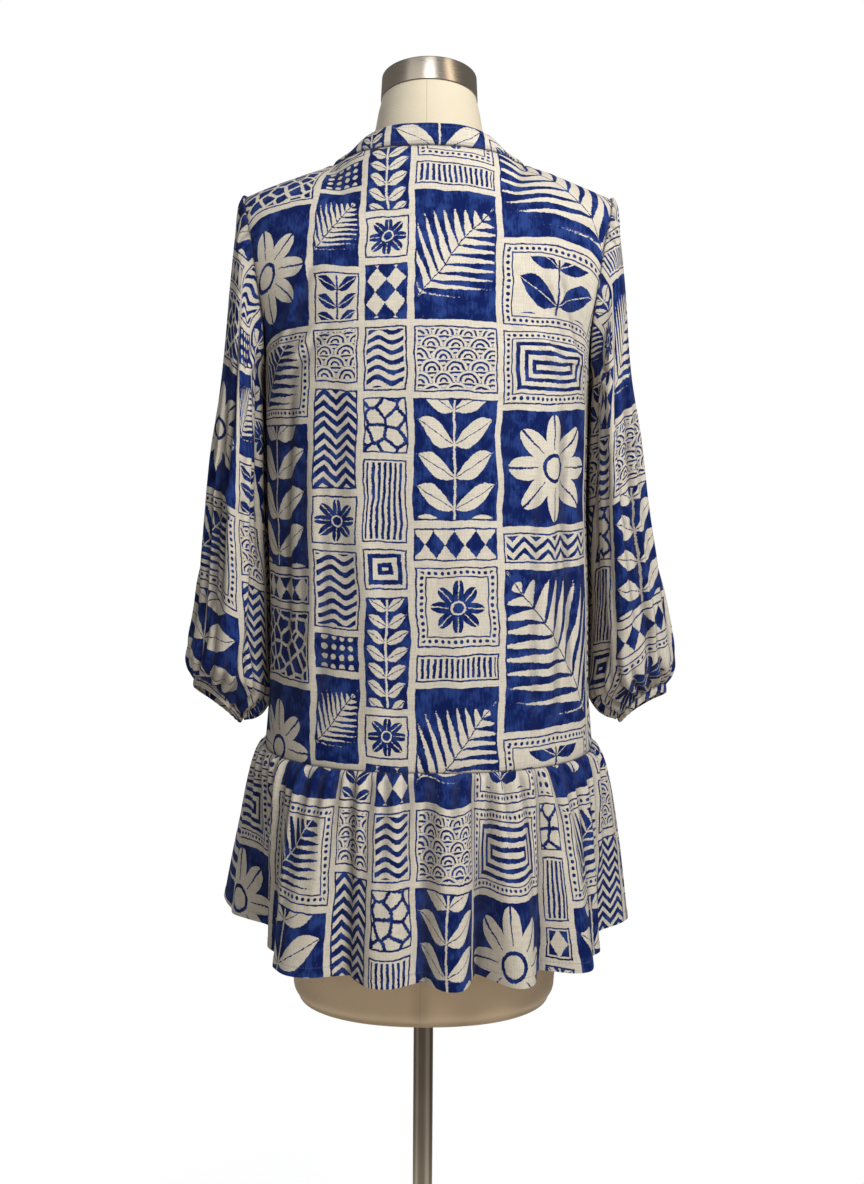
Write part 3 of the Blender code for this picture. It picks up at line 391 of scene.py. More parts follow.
# Steel: name, light and dark colour, roughness, scale of the grain along each axis, how metallic it is,
# and lines of painted reflection, some light and some dark, down the piece: place across, half width,
# strength and colour
# Painted reflections down the pole, light and dark
POLE_PAINTED_REFLECTIONS = (
    (0.0068, 0.0013, 0.60, (0.85, 0.74, 0.60, 1.0)), (-0.0050, 0.0022, 0.55, (0.85, 0.74, 0.60, 1.0)),
    (0.0012, 0.0030, 0.30, (0.16, 0.12, 0.085, 1.0)), (-0.0085, 0.0008, 0.60, (0.12, 0.09, 0.065, 1.0)),
)
STEELS = (
    ("cap_brushed", (0.78, 0.73, 0.66, 1.0), (0.62, 0.57, 0.50, 1.0), 0.30, (9.0, 9.0, 1100.0)),
    ("pole_brushed", (0.46, 0.38, 0.29, 1.0), (0.28, 0.23, 0.175, 1.0), 0.34, (700.0, 700.0, 14.0), 1.0,
     POLE_PAINTED_REFLECTIONS),
    ("base_painted", (0.11, 0.104, 0.098, 1.0), (0.085, 0.08, 0.075, 1.0), 0.52, (500.0, 500.0, 500.0), 0.0),
)

# Folds: from and to, as millimetres across and up on the flat cloth, then width, height and bow in
# millimetres
FOLD_LINE = ("across_1", "up_1", "across_2", "up_2", "width", "depth", "bow")
FOLD_HEIGHT = 1.5         # how much higher than in the tables the folds are drawn
FOLD_START = (-0.12, 0.25)      # shares of its length over which a fold rises and dies away
FOLD_END = (0.72, 1.12)
BESIDE_AWAY = 1.7         # hollow beside a fold: how far, how wide and how deep, as shares of the fold's
BESIDE_WIDTH = 1.3
BESIDE_DEPTH = 0.45
PANEL_FADE = 0.03         # from the edges of a panel in
BACK_FOLD_LINES = (
    (-135, 40, -120, 360, 10, 3, 6), (-165, 100, -150, 400, 8, -3, -4),
    (128, 20, 140, 330, 11, 3.2, -6), (165, 80, 152, 380, 8, -3, 4), (-52, 0, -70, 270, 13, 2.4, 5),
    (30, 30, 48, 310, 14, 2, -6), (-90, 160, -101, 430, 12, -1.8, 4), (83, 220, 94, 470, 12, -2, -4),
    (0, 200, -8, 450, 16, 1.4, 6), (-190, 385, -110, 470, 7, 2.6, 5), (192, 380, 118, 455, 7, 2.4, -5),
    (-180, 430, -125, 545, 6, 1.8, 4), (180, 425, 131, 535, 6, 1.8, -4),
)
FRONT_FOLD_LINES = (
    (-125, 20, -138, 340, 11, 3, 5), (132, 50, 120, 370, 10, 3, -5), (-165, 90, -155, 380, 8, -2.8, 3),
    (166, 60, 150, 400, 8, -2.8, -3), (-60, 10, -78, 300, 13, 2.2, -4), (58, 0, 72, 260, 14, 2.4, 5),
    (6, 20, -4, 340, 15, 1.8, -5), (-190, 380, -115, 462, 7, 2.4, 5), (190, 384, 112, 478, 7, 2.6, -5),
    (-30, 300, -90, 470, 10, 1.6, 4), (26, 310, 86, 455, 10, 1.6, -4),
)
# On a sleeve: degrees round from its outer side (the back is positive) and millimetres up from the cuff
LEFT_FOLD_LINES = (
    (58, 50, 50, 340, 7, 3.4, 3), (80, 100, 84, 420, 8, -3.6, -3), (112, 60, 118, 360, 7, 3, 3),
    (36, 80, 30, 300, 8, 2.6, 2), (146, 160, 138, 450, 7, -3.4, 3), (40, 260, 104, 215, 6, 2.4, 6),
    (48, 205, 128, 245, 6, 2.2, -5), (10, 30, 26, 130, 6, 2.6, 2), (74, 15, 66, 100, 5, 2.6, 1),
    (98, 12, 104, 85, 5, 2.4, 1), (130, 15, 124, 80, 5, 2.4, 1), (-20, 20, -28, 150, 6, 2.6, 2),
    (-55, 30, -48, 260, 7, 3, 3), (-92, 50, -100, 380, 8, 2.8, 3), (-124, 20, -118, 140, 6, 2.6, 2),
    (-44, 240, -116, 270, 6, 2.2, 5), (-150, 100, -142, 400, 7, -3, 3), (-165, 420, -95, 350, 6, 2, 4),
    (165, 430, 100, 360, 6, 2.2, 4),
)
RIGHT_FOLD_LINES = (
    (64, 60, 54, 370, 7, 3.4, 3), (88, 80, 92, 400, 8, -3.6, -3), (118, 50, 124, 340, 7, 3, 3),
    (34, 100, 26, 330, 8, 2.6, 2), (150, 140, 142, 440, 7, -3.4, 3), (42, 235, 110, 200, 6, 2.4, 6),
    (44, 280, 120, 300, 6, 2, -5), (14, 30, 24, 140, 6, 2.6, 2), (70, 15, 60, 110, 5, 2.6, 1),
    (100, 12, 108, 90, 5, 2.4, 1), (134, 15, 126, 80, 5, 2.4, 1), (-16, 20, -26, 160, 6, 2.6, 2),
    (-50, 40, -56, 290, 7, 3, 3), (-88, 30, -94, 330, 8, 2.8, 3), (-120, 20, -128, 150, 6, 2.6, 2),
    (-46, 255, -112, 225, 6, 2.2, 5), (-148, 120, -140, 420, 7, -3, 3), (-165, 430, -100, 370, 6, 2, 4),
    (165, 420, 96, 345, 6, 2.2, 4),
)
# Gathers where the flounce is sewn on: degrees round, half width in degrees, height and the
# length over which each runs out, in millimetres
GATHER = ("turn", "width", "height", "fade")
BACK_GATHERS = (
    (84, 2, 3, 45), (76, 1.6, 3.6, 30), (68, 2.2, 3, 60), (60.5, 1.5, 3.4, 28), (54, 2, 4, 50),
    (47, 1.5, 3, 24), (41.5, 1.8, 4.2, 70), (35, 1.4, 3, 26), (29.5, 1.7, 3.6, 44), (24, 1.3, 3, 22),
    (18.5, 1.8, 4.2, 64), (13, 1.3, 2.8, 26), (8, 1.6, 4, 52), (2, 1.4, 3.2, 24), (-3.5, 1.8, 4.2, 72),
    (-9, 1.2, 2.8, 22), (-14, 1.6, 3.6, 46), (-19, 1.4, 4.2, 60), (-25, 1.5, 3, 26),
    (-30.5, 1.8, 4.2, 68), (-37, 1.4, 3, 24), (-42, 1.7, 3.8, 48), (-48.5, 1.5, 3.2, 30),
    (-55, 2.1, 4.2, 62), (-63, 1.6, 3.2, 30), (-71, 2.1, 3.6, 52), (-80, 1.8, 3.2, 34),
    (-87, 1.6, 2.8, 40),
)
FRONT_GATHERS = (
    (95, 2, 3.2, 44), (103, 1.6, 3.6, 30), (110, 2.1, 3.4, 60), (117.5, 1.5, 3.4, 28), (125, 2, 4, 52),
    (131, 1.5, 3, 24), (137.5, 1.8, 4.2, 64), (143.5, 1.4, 3, 26), (150, 1.7, 3.8, 48),
    (156, 1.3, 3, 22), (161, 1.8, 4.2, 66), (167, 1.3, 2.8, 26), (172.5, 1.6, 4, 50),
    (179, 1.5, 3.2, 26), (184.5, 1.8, 4.2, 70), (191, 1.3, 2.8, 22), (196.5, 1.6, 3.6, 46),
    (202, 1.4, 4.2, 60), (209, 1.5, 3, 26), (215, 1.8, 4.2, 64), (222, 1.4, 3, 24), (228, 1.7, 3.8, 50),
    (235.5, 1.5, 3.2, 30), (243, 2.1, 4.2, 60), (251, 1.6, 3.2, 30), (259, 2, 3.6, 50),
    (266, 1.7, 3, 36),
)

# Where each piece of cloth is cut from the print, and the heights of its rows of stitches
PANEL_LOOKS = (("back", BACK_FOLD_LINES, (0.012, 0.055)), ("front", FRONT_FOLD_LINES, (0.205, 0.300)))
FLOUNCE_LOOKS = (("back", (0.012, -0.175)), ("front", (0.205, 0.090)))
SLEEVES = (
    ("left", LEFT_SLEEVE, LEFT_CREASES, LEFT_FOLD_LINES, 1.0, (0.250, 0.300)),
    ("right", RIGHT_SLEEVE, RIGHT_CREASES, RIGHT_FOLD_LINES, -1.0, (0.120, 0.200)),
)
BAND_SHIFT = (0.300, 0.320)
CUFF_SHIFT = 0.02         # how far below the sleeve's cut the cuff's is
BAND_STITCHES = (0.0040, 0.0215)
CUFF_STITCHES = (0.0025, 0.0085)
HEM_STITCHES = (0.0095,)

# Stage
FLOOR_HALF = 1.2
FLOOR_DROP = 0.0005
FLOOR_FADE = (0.50, 0.22)       # distance from the middle at which it fades out, and how softly
WORLD_COLOUR = (1.0, 1.0, 1.0, 1.0)
WORLD_MIRRORED = (1.0, 0.93, 0.84, 1.0)
WORLD_POWERS = (0.17, 0.15)     # outside the camera's view, and in reflections
# Lamps: name, place, aim, width, height, power in watts, colour, and what light they are seen in
LIGHTS = (
    ("key", (-1.20, 1.65, 2.45), (0.0, 0.0, 1.20), 0.8, 0.8, 41.0, (1.0, 0.994, 0.978), "diffuse"),
    ("fill", (2.3, 1.7, 1.7), (0.0, 0.0, 1.00), 1.6, 1.6, 1.0, (0.90, 0.95, 1.0), "both"),
    ("far", (1.3, -2.2, 1.7), (0.0, 0.0, 1.00), 2.0, 2.0, 48.0, (0.92, 0.96, 1.0), "diffuse"),
    ("bounce", (0.0, 0.9, 0.15), (0.0, 0.0, 0.60), 0.6, 0.6, 0.9, (1.0, 0.80, 0.60), "diffuse"),
    ("strip", (-0.04, 1.25, 2.65), (0.0, 0.0, 1.52), 0.52, 0.9, 6.0, (1.0, 1.0, 1.0), "glossy"),
    ("soft", (0.95, 1.00, 2.45), (0.0, 0.0, 1.52), 1.0, 1.4, 2.6, (1.0, 0.94, 0.86), "glossy"),
    ("warm", (-1.21, 0.65, 2.40), (0.0, 0.0, 1.52), 0.34, 1.4, 3.5, (1.0, 0.80, 0.60), "glossy"),
)
SPOT = ((-0.70, 1.75, 2.45), (0.0, 0.1, 1.28), 78.0, (1.0, 0.994, 0.978), "diffuse")
SPOT_WIDTH = 46.0
SPOT_RADIUS = 0.30
SPOT_SQUEEZE = 0.37       # how narrow its pool of light is, as a share of its height


def column(table, columns, name):
    """One named column of a table."""
    return np.array([row[columns.index(name)] for row in table], float)


def named(row, columns):
    """A table's row as values by name."""
    return dict(zip(columns, row))


def smooth(at, values, where):
    """Smooth curve through the values at the given places, with no overshoot at its ends."""
    at = np.asarray(at, float)
    values = np.asarray(values, float)
    where = np.clip(np.asarray(where, float), at[0], at[-1])
    slope = np.gradient(values, at)
    index = np.clip(np.searchsorted(at, where, side="right") - 1, 0, len(at) - 2)
    span = at[index + 1] - at[index]
    u = (where - at[index]) / span
    start = (1 + 2 * u) * (1 - u) ** 2 * values[index]
    end = u * u * (3 - 2 * u) * values[index + 1]
    bend = u * (1 - u) ** 2 * span * slope[index] - u * u * (1 - u) * span * slope[index + 1]
    return start + end + bend


def ease(low, high, value):
    """Zero below the low value, one above the high value, smooth between."""
    u = np.clip((value - low) / (high - low), 0.0, 1.0)
    return u * u * (3 - 2 * u)


def oval(angle, exponent):
    """Point of a unit superellipse, as (sine part, cosine part)."""
    sine = math.sin(angle)
    cosine = math.cos(angle)
    power = 2.0 / exponent
    return math.copysign(abs(sine) ** power, sine), math.copysign(abs(cosine) ** power, cosine)


def grid_normals(grid, closed):
    """Unit normals of a grid of points, from its rows and columns."""
    along = np.gradient(grid, axis=0)
    if closed:
        across = (np.roll(grid, -1, axis=1) - np.roll(grid, 1, axis=1)) / 2
    else:
        across = np.gradient(grid, axis=1)
    normal = np.cross(across, along)
    return normal / np.linalg.norm(normal, axis=2, keepdims=True)


def armhole(turn):
    """Armhole seam on the wearer's left, back half, at degrees round from the shoulder tip."""
    height = (SHOULDER_Z - UNDERARM_Z) / 2
    z = UNDERARM_Z + height * (1 + math.cos(math.radians(turn)))
    turns = column(ARMHOLE, ARMHOLE_COLUMNS, "turn")
    x = float(smooth(turns, column(ARMHOLE, ARMHOLE_COLUMNS, "x"), turn))
    return x, ARM_DEPTH * math.sin(math.radians(turn)), z


def panel_places():
    """Places across half a panel, 0 at its centre and 1 at its side."""
    neck = [NECK_SHARE * index / NECK_STEPS for index in range(NECK_STEPS)]
    rest = [NECK_SHARE + (1 - NECK_SHARE) * index / SHOULDER_STEPS for index in range(SHOULDER_STEPS + 1)]
    return neck + rest


def neckline_point(table, share):
    """Point of the neckline seam or the band's edge, on the wearer's left."""
    shares = column(table, NECKLINE_COLUMNS, "share")
    return np.array([float(smooth(shares, column(table, NECKLINE_COLUMNS, axis), share)) for axis in "xyz"])


def top_point(neckline, place):
    """Top edge of a panel: the neckline, then the shoulder seam out to its tip."""
    if place <= NECK_SHARE:
        return neckline_point(neckline, place / NECK_SHARE)
    share = (place - NECK_SHARE) / (1 - NECK_SHARE)
    start = np.array([NECK_X, NECK_Y, NECK_Z])
    end = np.array([SHOULDER_X, 0.0, SHOULDER_Z])
    point = start + (end - start) * share
    point[2] += SHOULDER_RISE * math.sin(math.pi * share)
    return point


def arm_row(table, facing, turn, place):
    """Point of a panel row beside the armhole, on the wearer's left. Up to the neckline's side the
    row climbs in a curve behind and straight in front, where the neck opening is a vee."""
    turns = -column(table, ARM_COLUMNS, "turn")
    values = {name: float(smooth(turns, column(table, ARM_COLUMNS, name), -turn)) for name in ARM_COLUMNS}
    edge_x, edge_y, edge_z = armhole(turn)
    reach = math.radians(values["reach"])
    blend = ease(*OVAL_TURNS, turn)
    x_plain = math.sin(reach * place) / math.sin(reach)
    y_plain = (math.cos(reach * place) - math.cos(reach)) / (1 - math.cos(reach))
    x_oval, y_oval = oval(math.pi / 2 * place, BODY_SQUARE)
    x = edge_x * (x_plain + (x_oval - x_plain) * blend)
    share = y_plain + (y_oval - y_plain) * blend
    y = edge_y + (values["middle_y"] - edge_y) * share
    if place <= NECK_SHARE:
        climb = place / NECK_SHARE if facing < 0 else ease(0.0, NECK_SHARE, place)
        z = values["middle_z"] + (values["side_z"] - values["middle_z"]) * climb
    else:
        out = (place - NECK_SHARE) / (1 - NECK_SHARE)
        z = values["side_z"] + (edge_z - values["side_z"]) * out ** ROW_BOW
    return np.array([x, facing * y, z])


def body_point(height, facing, place):
    """Point of the bodice below the underarm, on the wearer's left."""
    heights = column(BODY, BODY_COLUMNS, "z")
    side = float(smooth(heights, column(BODY, BODY_COLUMNS, "side"), height))
    depth = float(smooth(heights, column(BODY, BODY_COLUMNS, "back" if facing > 0 else "front"), height))
    across, along = oval(math.pi / 2 * place, BODY_SQUARE)
    return np.array([side * across, facing * depth * along, height])


def half_panel(facing):
    """Grid of middle points of half a panel, from its centre to its left side."""
    arm_table = BACK_ARM if facing > 0 else FRONT_ARM
    neckline = BACK_NECKLINE if facing > 0 else FRONT_NECKLINE
    places = panel_places()
    grid = []
    start_z = named(arm_table[0], ARM_COLUMNS)["middle_z"]
    for row in range(BODY_ROWS):
        share = row / BODY_ROWS
        line = []
        for place in places:
            blend = ease(0.0, 1.0, 1 - place / NECK_SHARE) if facing < 0 else 0.0
            top = UNDERARM_Z + (start_z - UNDERARM_Z) * blend
            line.append(body_point(SEAM_Z + (top - SEAM_Z) * share, facing, place))
        grid.append(line)
    for row in range(ARM_ROWS + 1):
        turn = 180.0 + (YOKE_TURN - 180.0) * row / ARM_ROWS
        grid.append([arm_row(arm_table, facing, turn, place) for place in places])
    for row in range(1, YOKE_ROWS + 1):
        roll = math.pi / 2 * row / YOKE_ROWS
        line = []
        for place, low in zip(places, grid[BODY_ROWS + ARM_ROWS]):
            high = top_point(neckline, place)
            base = ROUND_BACK if facing > 0 else ROUND_FRONT * ease(0.0, NECK_SHARE, place)
            rounded = base + (1 - base) * ease(NECK_SHARE, 1.0, place)
            over = row / YOKE_ROWS * (1 - rounded) + (1 - math.cos(roll)) * rounded
            up = row / YOKE_ROWS * (1 - rounded) + math.sin(roll) * rounded
            line.append(np.array([
                low[0] + (high[0] - low[0]) * math.sin(roll), low[1] + (high[1] - low[1]) * over,
                low[2] + (high[2] - low[2]) * up,
            ]))
        grid.append(line)
    return np.array(grid)


def whole_panel(facing):
    """Grid of a whole panel, columns left to right as seen from outside."""
    left = half_panel(facing)
    right = left[:, 1:] * np.array([-1.0, 1.0, 1.0])
    if facing > 0:
        return np.concatenate([left[:, ::-1], right], axis=1)
    return np.concatenate([right[:, ::-1], left], axis=1)


def place_key(point):
    """A key that grid points in one place share."""
    return tuple(np.round(point, SAME_PLACE))


def rest_on(form, grids, clearance):
    """Lifts the grids' points until every cell lies clear of the dress form, so that the cloth
    rests on its shoulders. Points that two grids share move together."""
    tree = BVHTree.FromObject(form, bpy.context.evaluated_depsgraph_get())
    parts = [(u / REST_CUTS, v / REST_CUTS) for u in range(REST_CUTS + 1) for v in range(REST_CUTS + 1)]
    for _ in range(REST_PASSES):
        lifts = {}
        for grid in grids:
            rows, columns = grid.shape[:2]
            for row, col in np.ndindex(rows - 1, columns - 1):
                corners = ((row, col), (row, col + 1), (row + 1, col), (row + 1, col + 1))
                for u, v in parts:
                    weights = ((1 - u) * (1 - v), u * (1 - v), (1 - u) * v, u * v)
                    point = Vector(sum(grid[corner] * share for corner, share in zip(corners, weights)))
                    place, normal, _, distance = tree.find_nearest(point, REST_REACH)
                    if place is None:
                        continue
                    short = clearance - math.copysign(distance, (point - place).dot(normal))
                    if short <= 0:
                        continue
                    for corner, share in zip(corners, weights):
                        key = place_key(grid[corner])
                        if share > 0 and lifts.get(key, (0.0, None))[0] < short:
                            lifts[key] = (short, normal * short)
        for grid in grids:
            for index in np.ndindex(grid.shape[:2]):
                lift = lifts.get(place_key(grid[index]))
                if lift:
                    grid[index] += lift[1]
        if not lifts:
            break


def shared_normals(grids):
    """Normals of several grids, averaged where their points meet."""
    normals = [grid_normals(grid, False) for grid in grids]
    meeting = {}
    for grid, normal in zip(grids, normals):
        for index in np.ndindex(grid.shape[:2]):
            meeting.setdefault(place_key(grid[index]), []).append(normal[index])
    for grid, normal in zip(grids, normals):
        for index in np.ndindex(grid.shape[:2]):
            total = np.sum(meeting[place_key(grid[index])], axis=0)
            normal[index] = total / np.linalg.norm(total)
    return normals


def neck_ring(back, front):
    """The neckline's values in the two panels' top rows, as one ring from the left side round the
    back to the right side and round the front."""
    middle = back.shape[1] // 2
    first = middle - NECK_STEPS
    last = middle + NECK_STEPS
    return np.concatenate([back[-1, first:last], front[-1, first:last]])


def band_grid(panels):
    """Middle points of the neckband, from the neckline seam up to its free edge."""
    lower = neck_ring(*panels)
    upper = []
    for table in (BACK_BAND_EDGE, FRONT_BAND_EDGE):
        for step in range(-NECK_STEPS, NECK_STEPS):
            upper.append(neckline_point(table, abs(step) / NECK_STEPS))
    upper = np.array(upper)
    upper[:, 0] = np.copysign(upper[:, 0], lower[:, 0])
    return np.array([lower + (upper - lower) * index / BAND_ROWS for index in range(BAND_ROWS + 1)])


def sleeve_turns():
    """Degrees round each sleeve section, from the underarm up the back and down the front."""
    arm = [180.0 + (YOKE_TURN - 180.0) * row / ARM_ROWS for row in range(ARM_ROWS + 1)]
    yoke = [YOKE_TURN * (1 - row / YOKE_ROWS) for row in range(1, YOKE_ROWS + 1)]
    back = arm + yoke
    return back + [-turn for turn in reversed(back[1:-1])]


def seam_loop(bodice, mirror):
    """Armhole seam points, normals and next points inwards, in the order of the sleeve's turns."""
    (back, back_normal), (front, front_normal) = bodice
    near, far, inwards = (0, -1, 1) if mirror > 0 else (-1, 0, -1)

    def loop(behind, before, inset=0):
        side = before[BODY_ROWS + 1:-1, far - inset * inwards]
        return np.concatenate([behind[BODY_ROWS:, near + inset * inwards], side[::-1]])

    return loop(back, front), loop(back_normal, front_normal), loop(back, front, 1)


def section(row, turn, mirror):
    """Point of a sleeve section, given by name, at degrees round from its outer end."""
    across, along = oval(math.radians(turn), SLEEVE_SQUARE)
    x = (row["inner_x"] + row["outer_x"]) / 2 + (row["outer_x"] - row["inner_x"]) / 2 * along
    z = (row["inner_z"] + row["outer_z"]) / 2 + (row["outer_z"] - row["inner_z"]) / 2 * along
    y = row["depth"] * across
    return np.array([mirror * x, row["middle_y"] + y, z + row["lift"] * y])


def crease(table, ring, turn):
    """How far the long folds move a sleeve point in or out."""
    total = 0.0
    for row in table:
        fold = named(row, CREASE_COLUMNS)
        away = (turn - fold["turn"] + 180.0) % 360.0 - 180.0
        starts = ease(fold["first"] - 2, fold["first"] + 1, ring)
        ends = ease(fold["last"] - 1, fold["last"] + 2, ring)
        total += fold["depth"] * math.exp(-(away / fold["width"]) ** 2) * starts * (1 - ends)
    return total


def sleeve_grid(bodice, table, creases, mirror):
    """Middle points of a sleeve's rings, from its gathered lower end up to its lap over the armhole."""
    turns = sleeve_turns()
    points, normals, inward = seam_loop(bodice, mirror)
    turned = np.abs(np.array(turns))[:, None]
    folded = ease(*FOLD_TURNS, turned) * (1 - ease(*UNFOLD_TURNS, turned))
    edge = points + normals * (SHELL + SLEEVE_AIR + SLEEVE_FOLD * folded)
    onto = inward - points
    onto /= np.linalg.norm(onto, axis=1, keepdims=True)
    under = ease(*LAP_TURNS, turned)
    onto = onto * (1 - under) + np.array([0.0, 0.0, 1.0]) * under
    lap = edge + onto * LAP - normals * LAP_SINK
    rings = [lap, edge + np.array([mirror * SLEEVE_STEP * STEP_SHARE, 0.0, 0.0])]
    for ring, values in enumerate(table):
        row = named(values, SLEEVE_COLUMNS)
        centre = section(row, 0.0, mirror) / 2 + section(row, 180.0, mirror) / 2
        line = []
        for turn in turns:
            point = section(row, turn, mirror)
            out = point - centre
            out /= np.linalg.norm(out)
            line.append(point + out * crease(creases, ring, turn))
        rings.append(np.array(line))
    return np.array(rings[::-1])


def cuff_grid(table, mirror):
    """Middle points of a cuff's rings, from its free edge up into the sleeve."""
    row = named(table[-1], SLEEVE_COLUMNS)
    shrink = (CLOTH + BAND) / 2 + SEAM_GAP + CUFF_GATHER_DEPTH
    length = math.hypot(row["outer_x"] - row["inner_x"], row["outer_z"] - row["inner_z"])
    for axis in "xz":
        step = (row["outer_" + axis] - row["inner_" + axis]) / length * shrink
        row["inner_" + axis] += step
        row["outer_" + axis] -= step
    row["depth"] -= shrink
    rings = []
    for drop in (CUFF_HEIGHT, CUFF_HEIGHT / 2, 0.0, -CUFF_TUCK):
        line = [section(row, turn, mirror) for turn in sleeve_turns()]
        rings.append([point + np.array([mirror * drop * CUFF_LEAN, 0.0, -drop]) for point in line])
    return np.array(rings)

# Finer grids, their flat coordinates and folds


def finer(grid, times, closed=False):
    """A grid drawn finer by one factor along its rows and one along its columns, on smooth curves
    through its points. In a closed grid the columns run round."""
    for axis, count in enumerate(times):
        round_it = closed and axis == 1
        lines = np.swapaxes(grid, 0, axis)
        if round_it:
            ends = np.concatenate([lines[-1:], lines, lines[:2]])
        else:
            ends = np.concatenate([2 * lines[:1] - lines[1:2], lines, 2 * lines[-1:] - lines[-2:-1]])
        before, start, end, after = ends[:-3], ends[1:-2], ends[2:-1], ends[3:]
        bend = 2 * before - 5 * start + 4 * end - after
        twist = 3 * start - before - 3 * end + after
        curves = []
        for step in range(count):
            u = step / count
            curves.append(start + 0.5 * ((end - before) * u + bend * u * u + twist * u ** 3))
        fine = np.stack(curves, axis=1).reshape(-1, *lines.shape[1:])
        if not round_it:
            fine = np.concatenate([fine, lines[-1:]])
        grid = np.swapaxes(fine, 0, axis)
    return grid


def flat_places(grid, middle, closed=False):
    """Flat coordinates of a grid's points on the uncut cloth, in metres: across from the middle
    column, and up from the lowest row. A closed grid gets its first column again at the end."""
    if closed:
        grid = np.concatenate([grid, grid[:, :1]], axis=1)
    across = np.linalg.norm(np.diff(grid, axis=1), axis=2)
    across = np.concatenate([np.zeros((len(grid), 1)), np.cumsum(across, axis=1)], axis=1)
    across -= across[:, middle:middle + 1]
    up = np.linalg.norm(np.diff(grid, axis=0), axis=2)
    up = np.concatenate([np.zeros((1, grid.shape[1])), np.cumsum(up, axis=0)])
    return np.stack([across, up], axis=2)


def flat_area(places):
    """Area of the flat cloth that a grid of flat coordinates covers."""
    a = places[1:, 1:] - places[:-1, :-1]
    b = places[1:, :-1] - places[:-1, 1:]
    return float(np.abs(a[..., 0] * b[..., 1] - a[..., 1] * b[..., 0]).sum() / 2)


def bell(value, middle, width):
    """One at the middle, falling away over the width on both sides."""
    return np.exp(-((value - middle) / width) ** 2)


def fold_lift(across, up, table, around=None):
    """Height of the listed folds over flat cloth: each is a ridge (a crease where its depth is
    below zero) along a bowed line, with a shallower hollow beside it. On a tube, the table gives
    degrees round in place of millimetres across, and around is the metres in a degree."""
    total = np.zeros(across.shape)
    for row in table:
        line = named(row, FOLD_LINE)
        run = (line["across_2"] - line["across_1"]) * (around or MM)
        if around:
            away = ((across - line["across_1"] + 180.0) % 360.0 - 180.0) * around
        else:
            away = across - line["across_1"] * MM
        above = up - line["up_1"] * MM
        rise = (line["up_2"] - line["up_1"]) * MM
        width, depth, bow = (line[name] * MM for name in ("width", "depth", "bow"))
        length = math.hypot(run, rise)
        along = (away * run + above * rise) / length ** 2
        beside = (away * rise - above * run) / length - bow * 4 * along * (1 - along)
        ends = ease(*FOLD_START, along) * (1 - ease(*FOLD_END, along))
        hollow = bell(beside, BESIDE_AWAY * width, BESIDE_WIDTH * width)
        total += FOLD_HEIGHT * depth * ends * (bell(beside, 0.0, width) - BESIDE_DEPTH * hollow)
    return total


def clear_of(points, normals, move, tree):
    """Moves points along their normals, but inwards no nearer to the dress form than CLEAR."""
    room = np.full(move.shape, CLEAR_MOST)
    for index in np.ndindex(move.shape):
        point = Vector(points[index])
        place, normal, _, distance = tree.find_nearest(point, REST_REACH)
        if place is not None:
            room[index] = max(math.copysign(distance, (point - place).dot(normal)) - CLEAR, 0.0)
    return points + normals * np.maximum(move, -room)[..., None]


def edge_roll(distance, depth=ROLL_DEPTH, reach=ROLL_REACH):
    """Inward roll of cloth into the seam at its edge, or how much thinner it is there."""
    return -depth * bell(distance, 0.0, reach)


def swayed(grid):
    """Points of the dress moved aside as it hangs, and up a little at the shoulders."""
    moved = grid.copy()
    moved[..., 0] -= SWAY * (1 - ease(*SWAY_HEIGHTS, grid[..., 2]))
    for place, lift in SHOULDER_LIFTS:
        near = bell(grid[..., 0], place, SHOULDER_WIDTH)
        moved[..., 2] += lift * near * ease(*SHOULDER_HEIGHTS, grid[..., 2])
    return moved


# Meshes


def put(name, points, faces, materials, sharp=60.0):
    """A smooth-shaded object from points and faces, with edges over an angle in degrees kept sharp."""
    mesh = bpy.data.meshes.new(name)
    mesh.from_pydata(points.tolist(), [], faces)
    for material in materials:
        mesh.materials.append(material)
    mesh.shade_smooth()
    mesh.set_sharp_from_angle(angle=math.radians(sharp))
    made = bpy.data.objects.new(name, mesh)
    bpy.context.scene.collection.objects.link(made)
    return made


def hollows(grid, normals, closed):
    """How deep each point lies in a fold's hollow, 0 to 1, from its neighbours HOLLOW_REACH away."""
    step = np.linalg.norm(np.diff(grid, axis=1), axis=2).mean()
    reach = max(1, round(HOLLOW_REACH / step))
    wide = np.pad(grid, ((0, 0), (reach, reach), (0, 0)), mode="wrap" if closed else "edge")
    middle = (wide[:, :grid.shape[1]] + wide[:, 2 * reach:]) / 2
    deep = np.einsum("ijk,ijk->ij", middle - grid, normals)
    if not closed:
        deep[:, :reach] = 0.0
        deep[:, -reach:] = 0.0
    return np.clip(deep / HOLLOW_DEPTH, 0.0, 1.0)


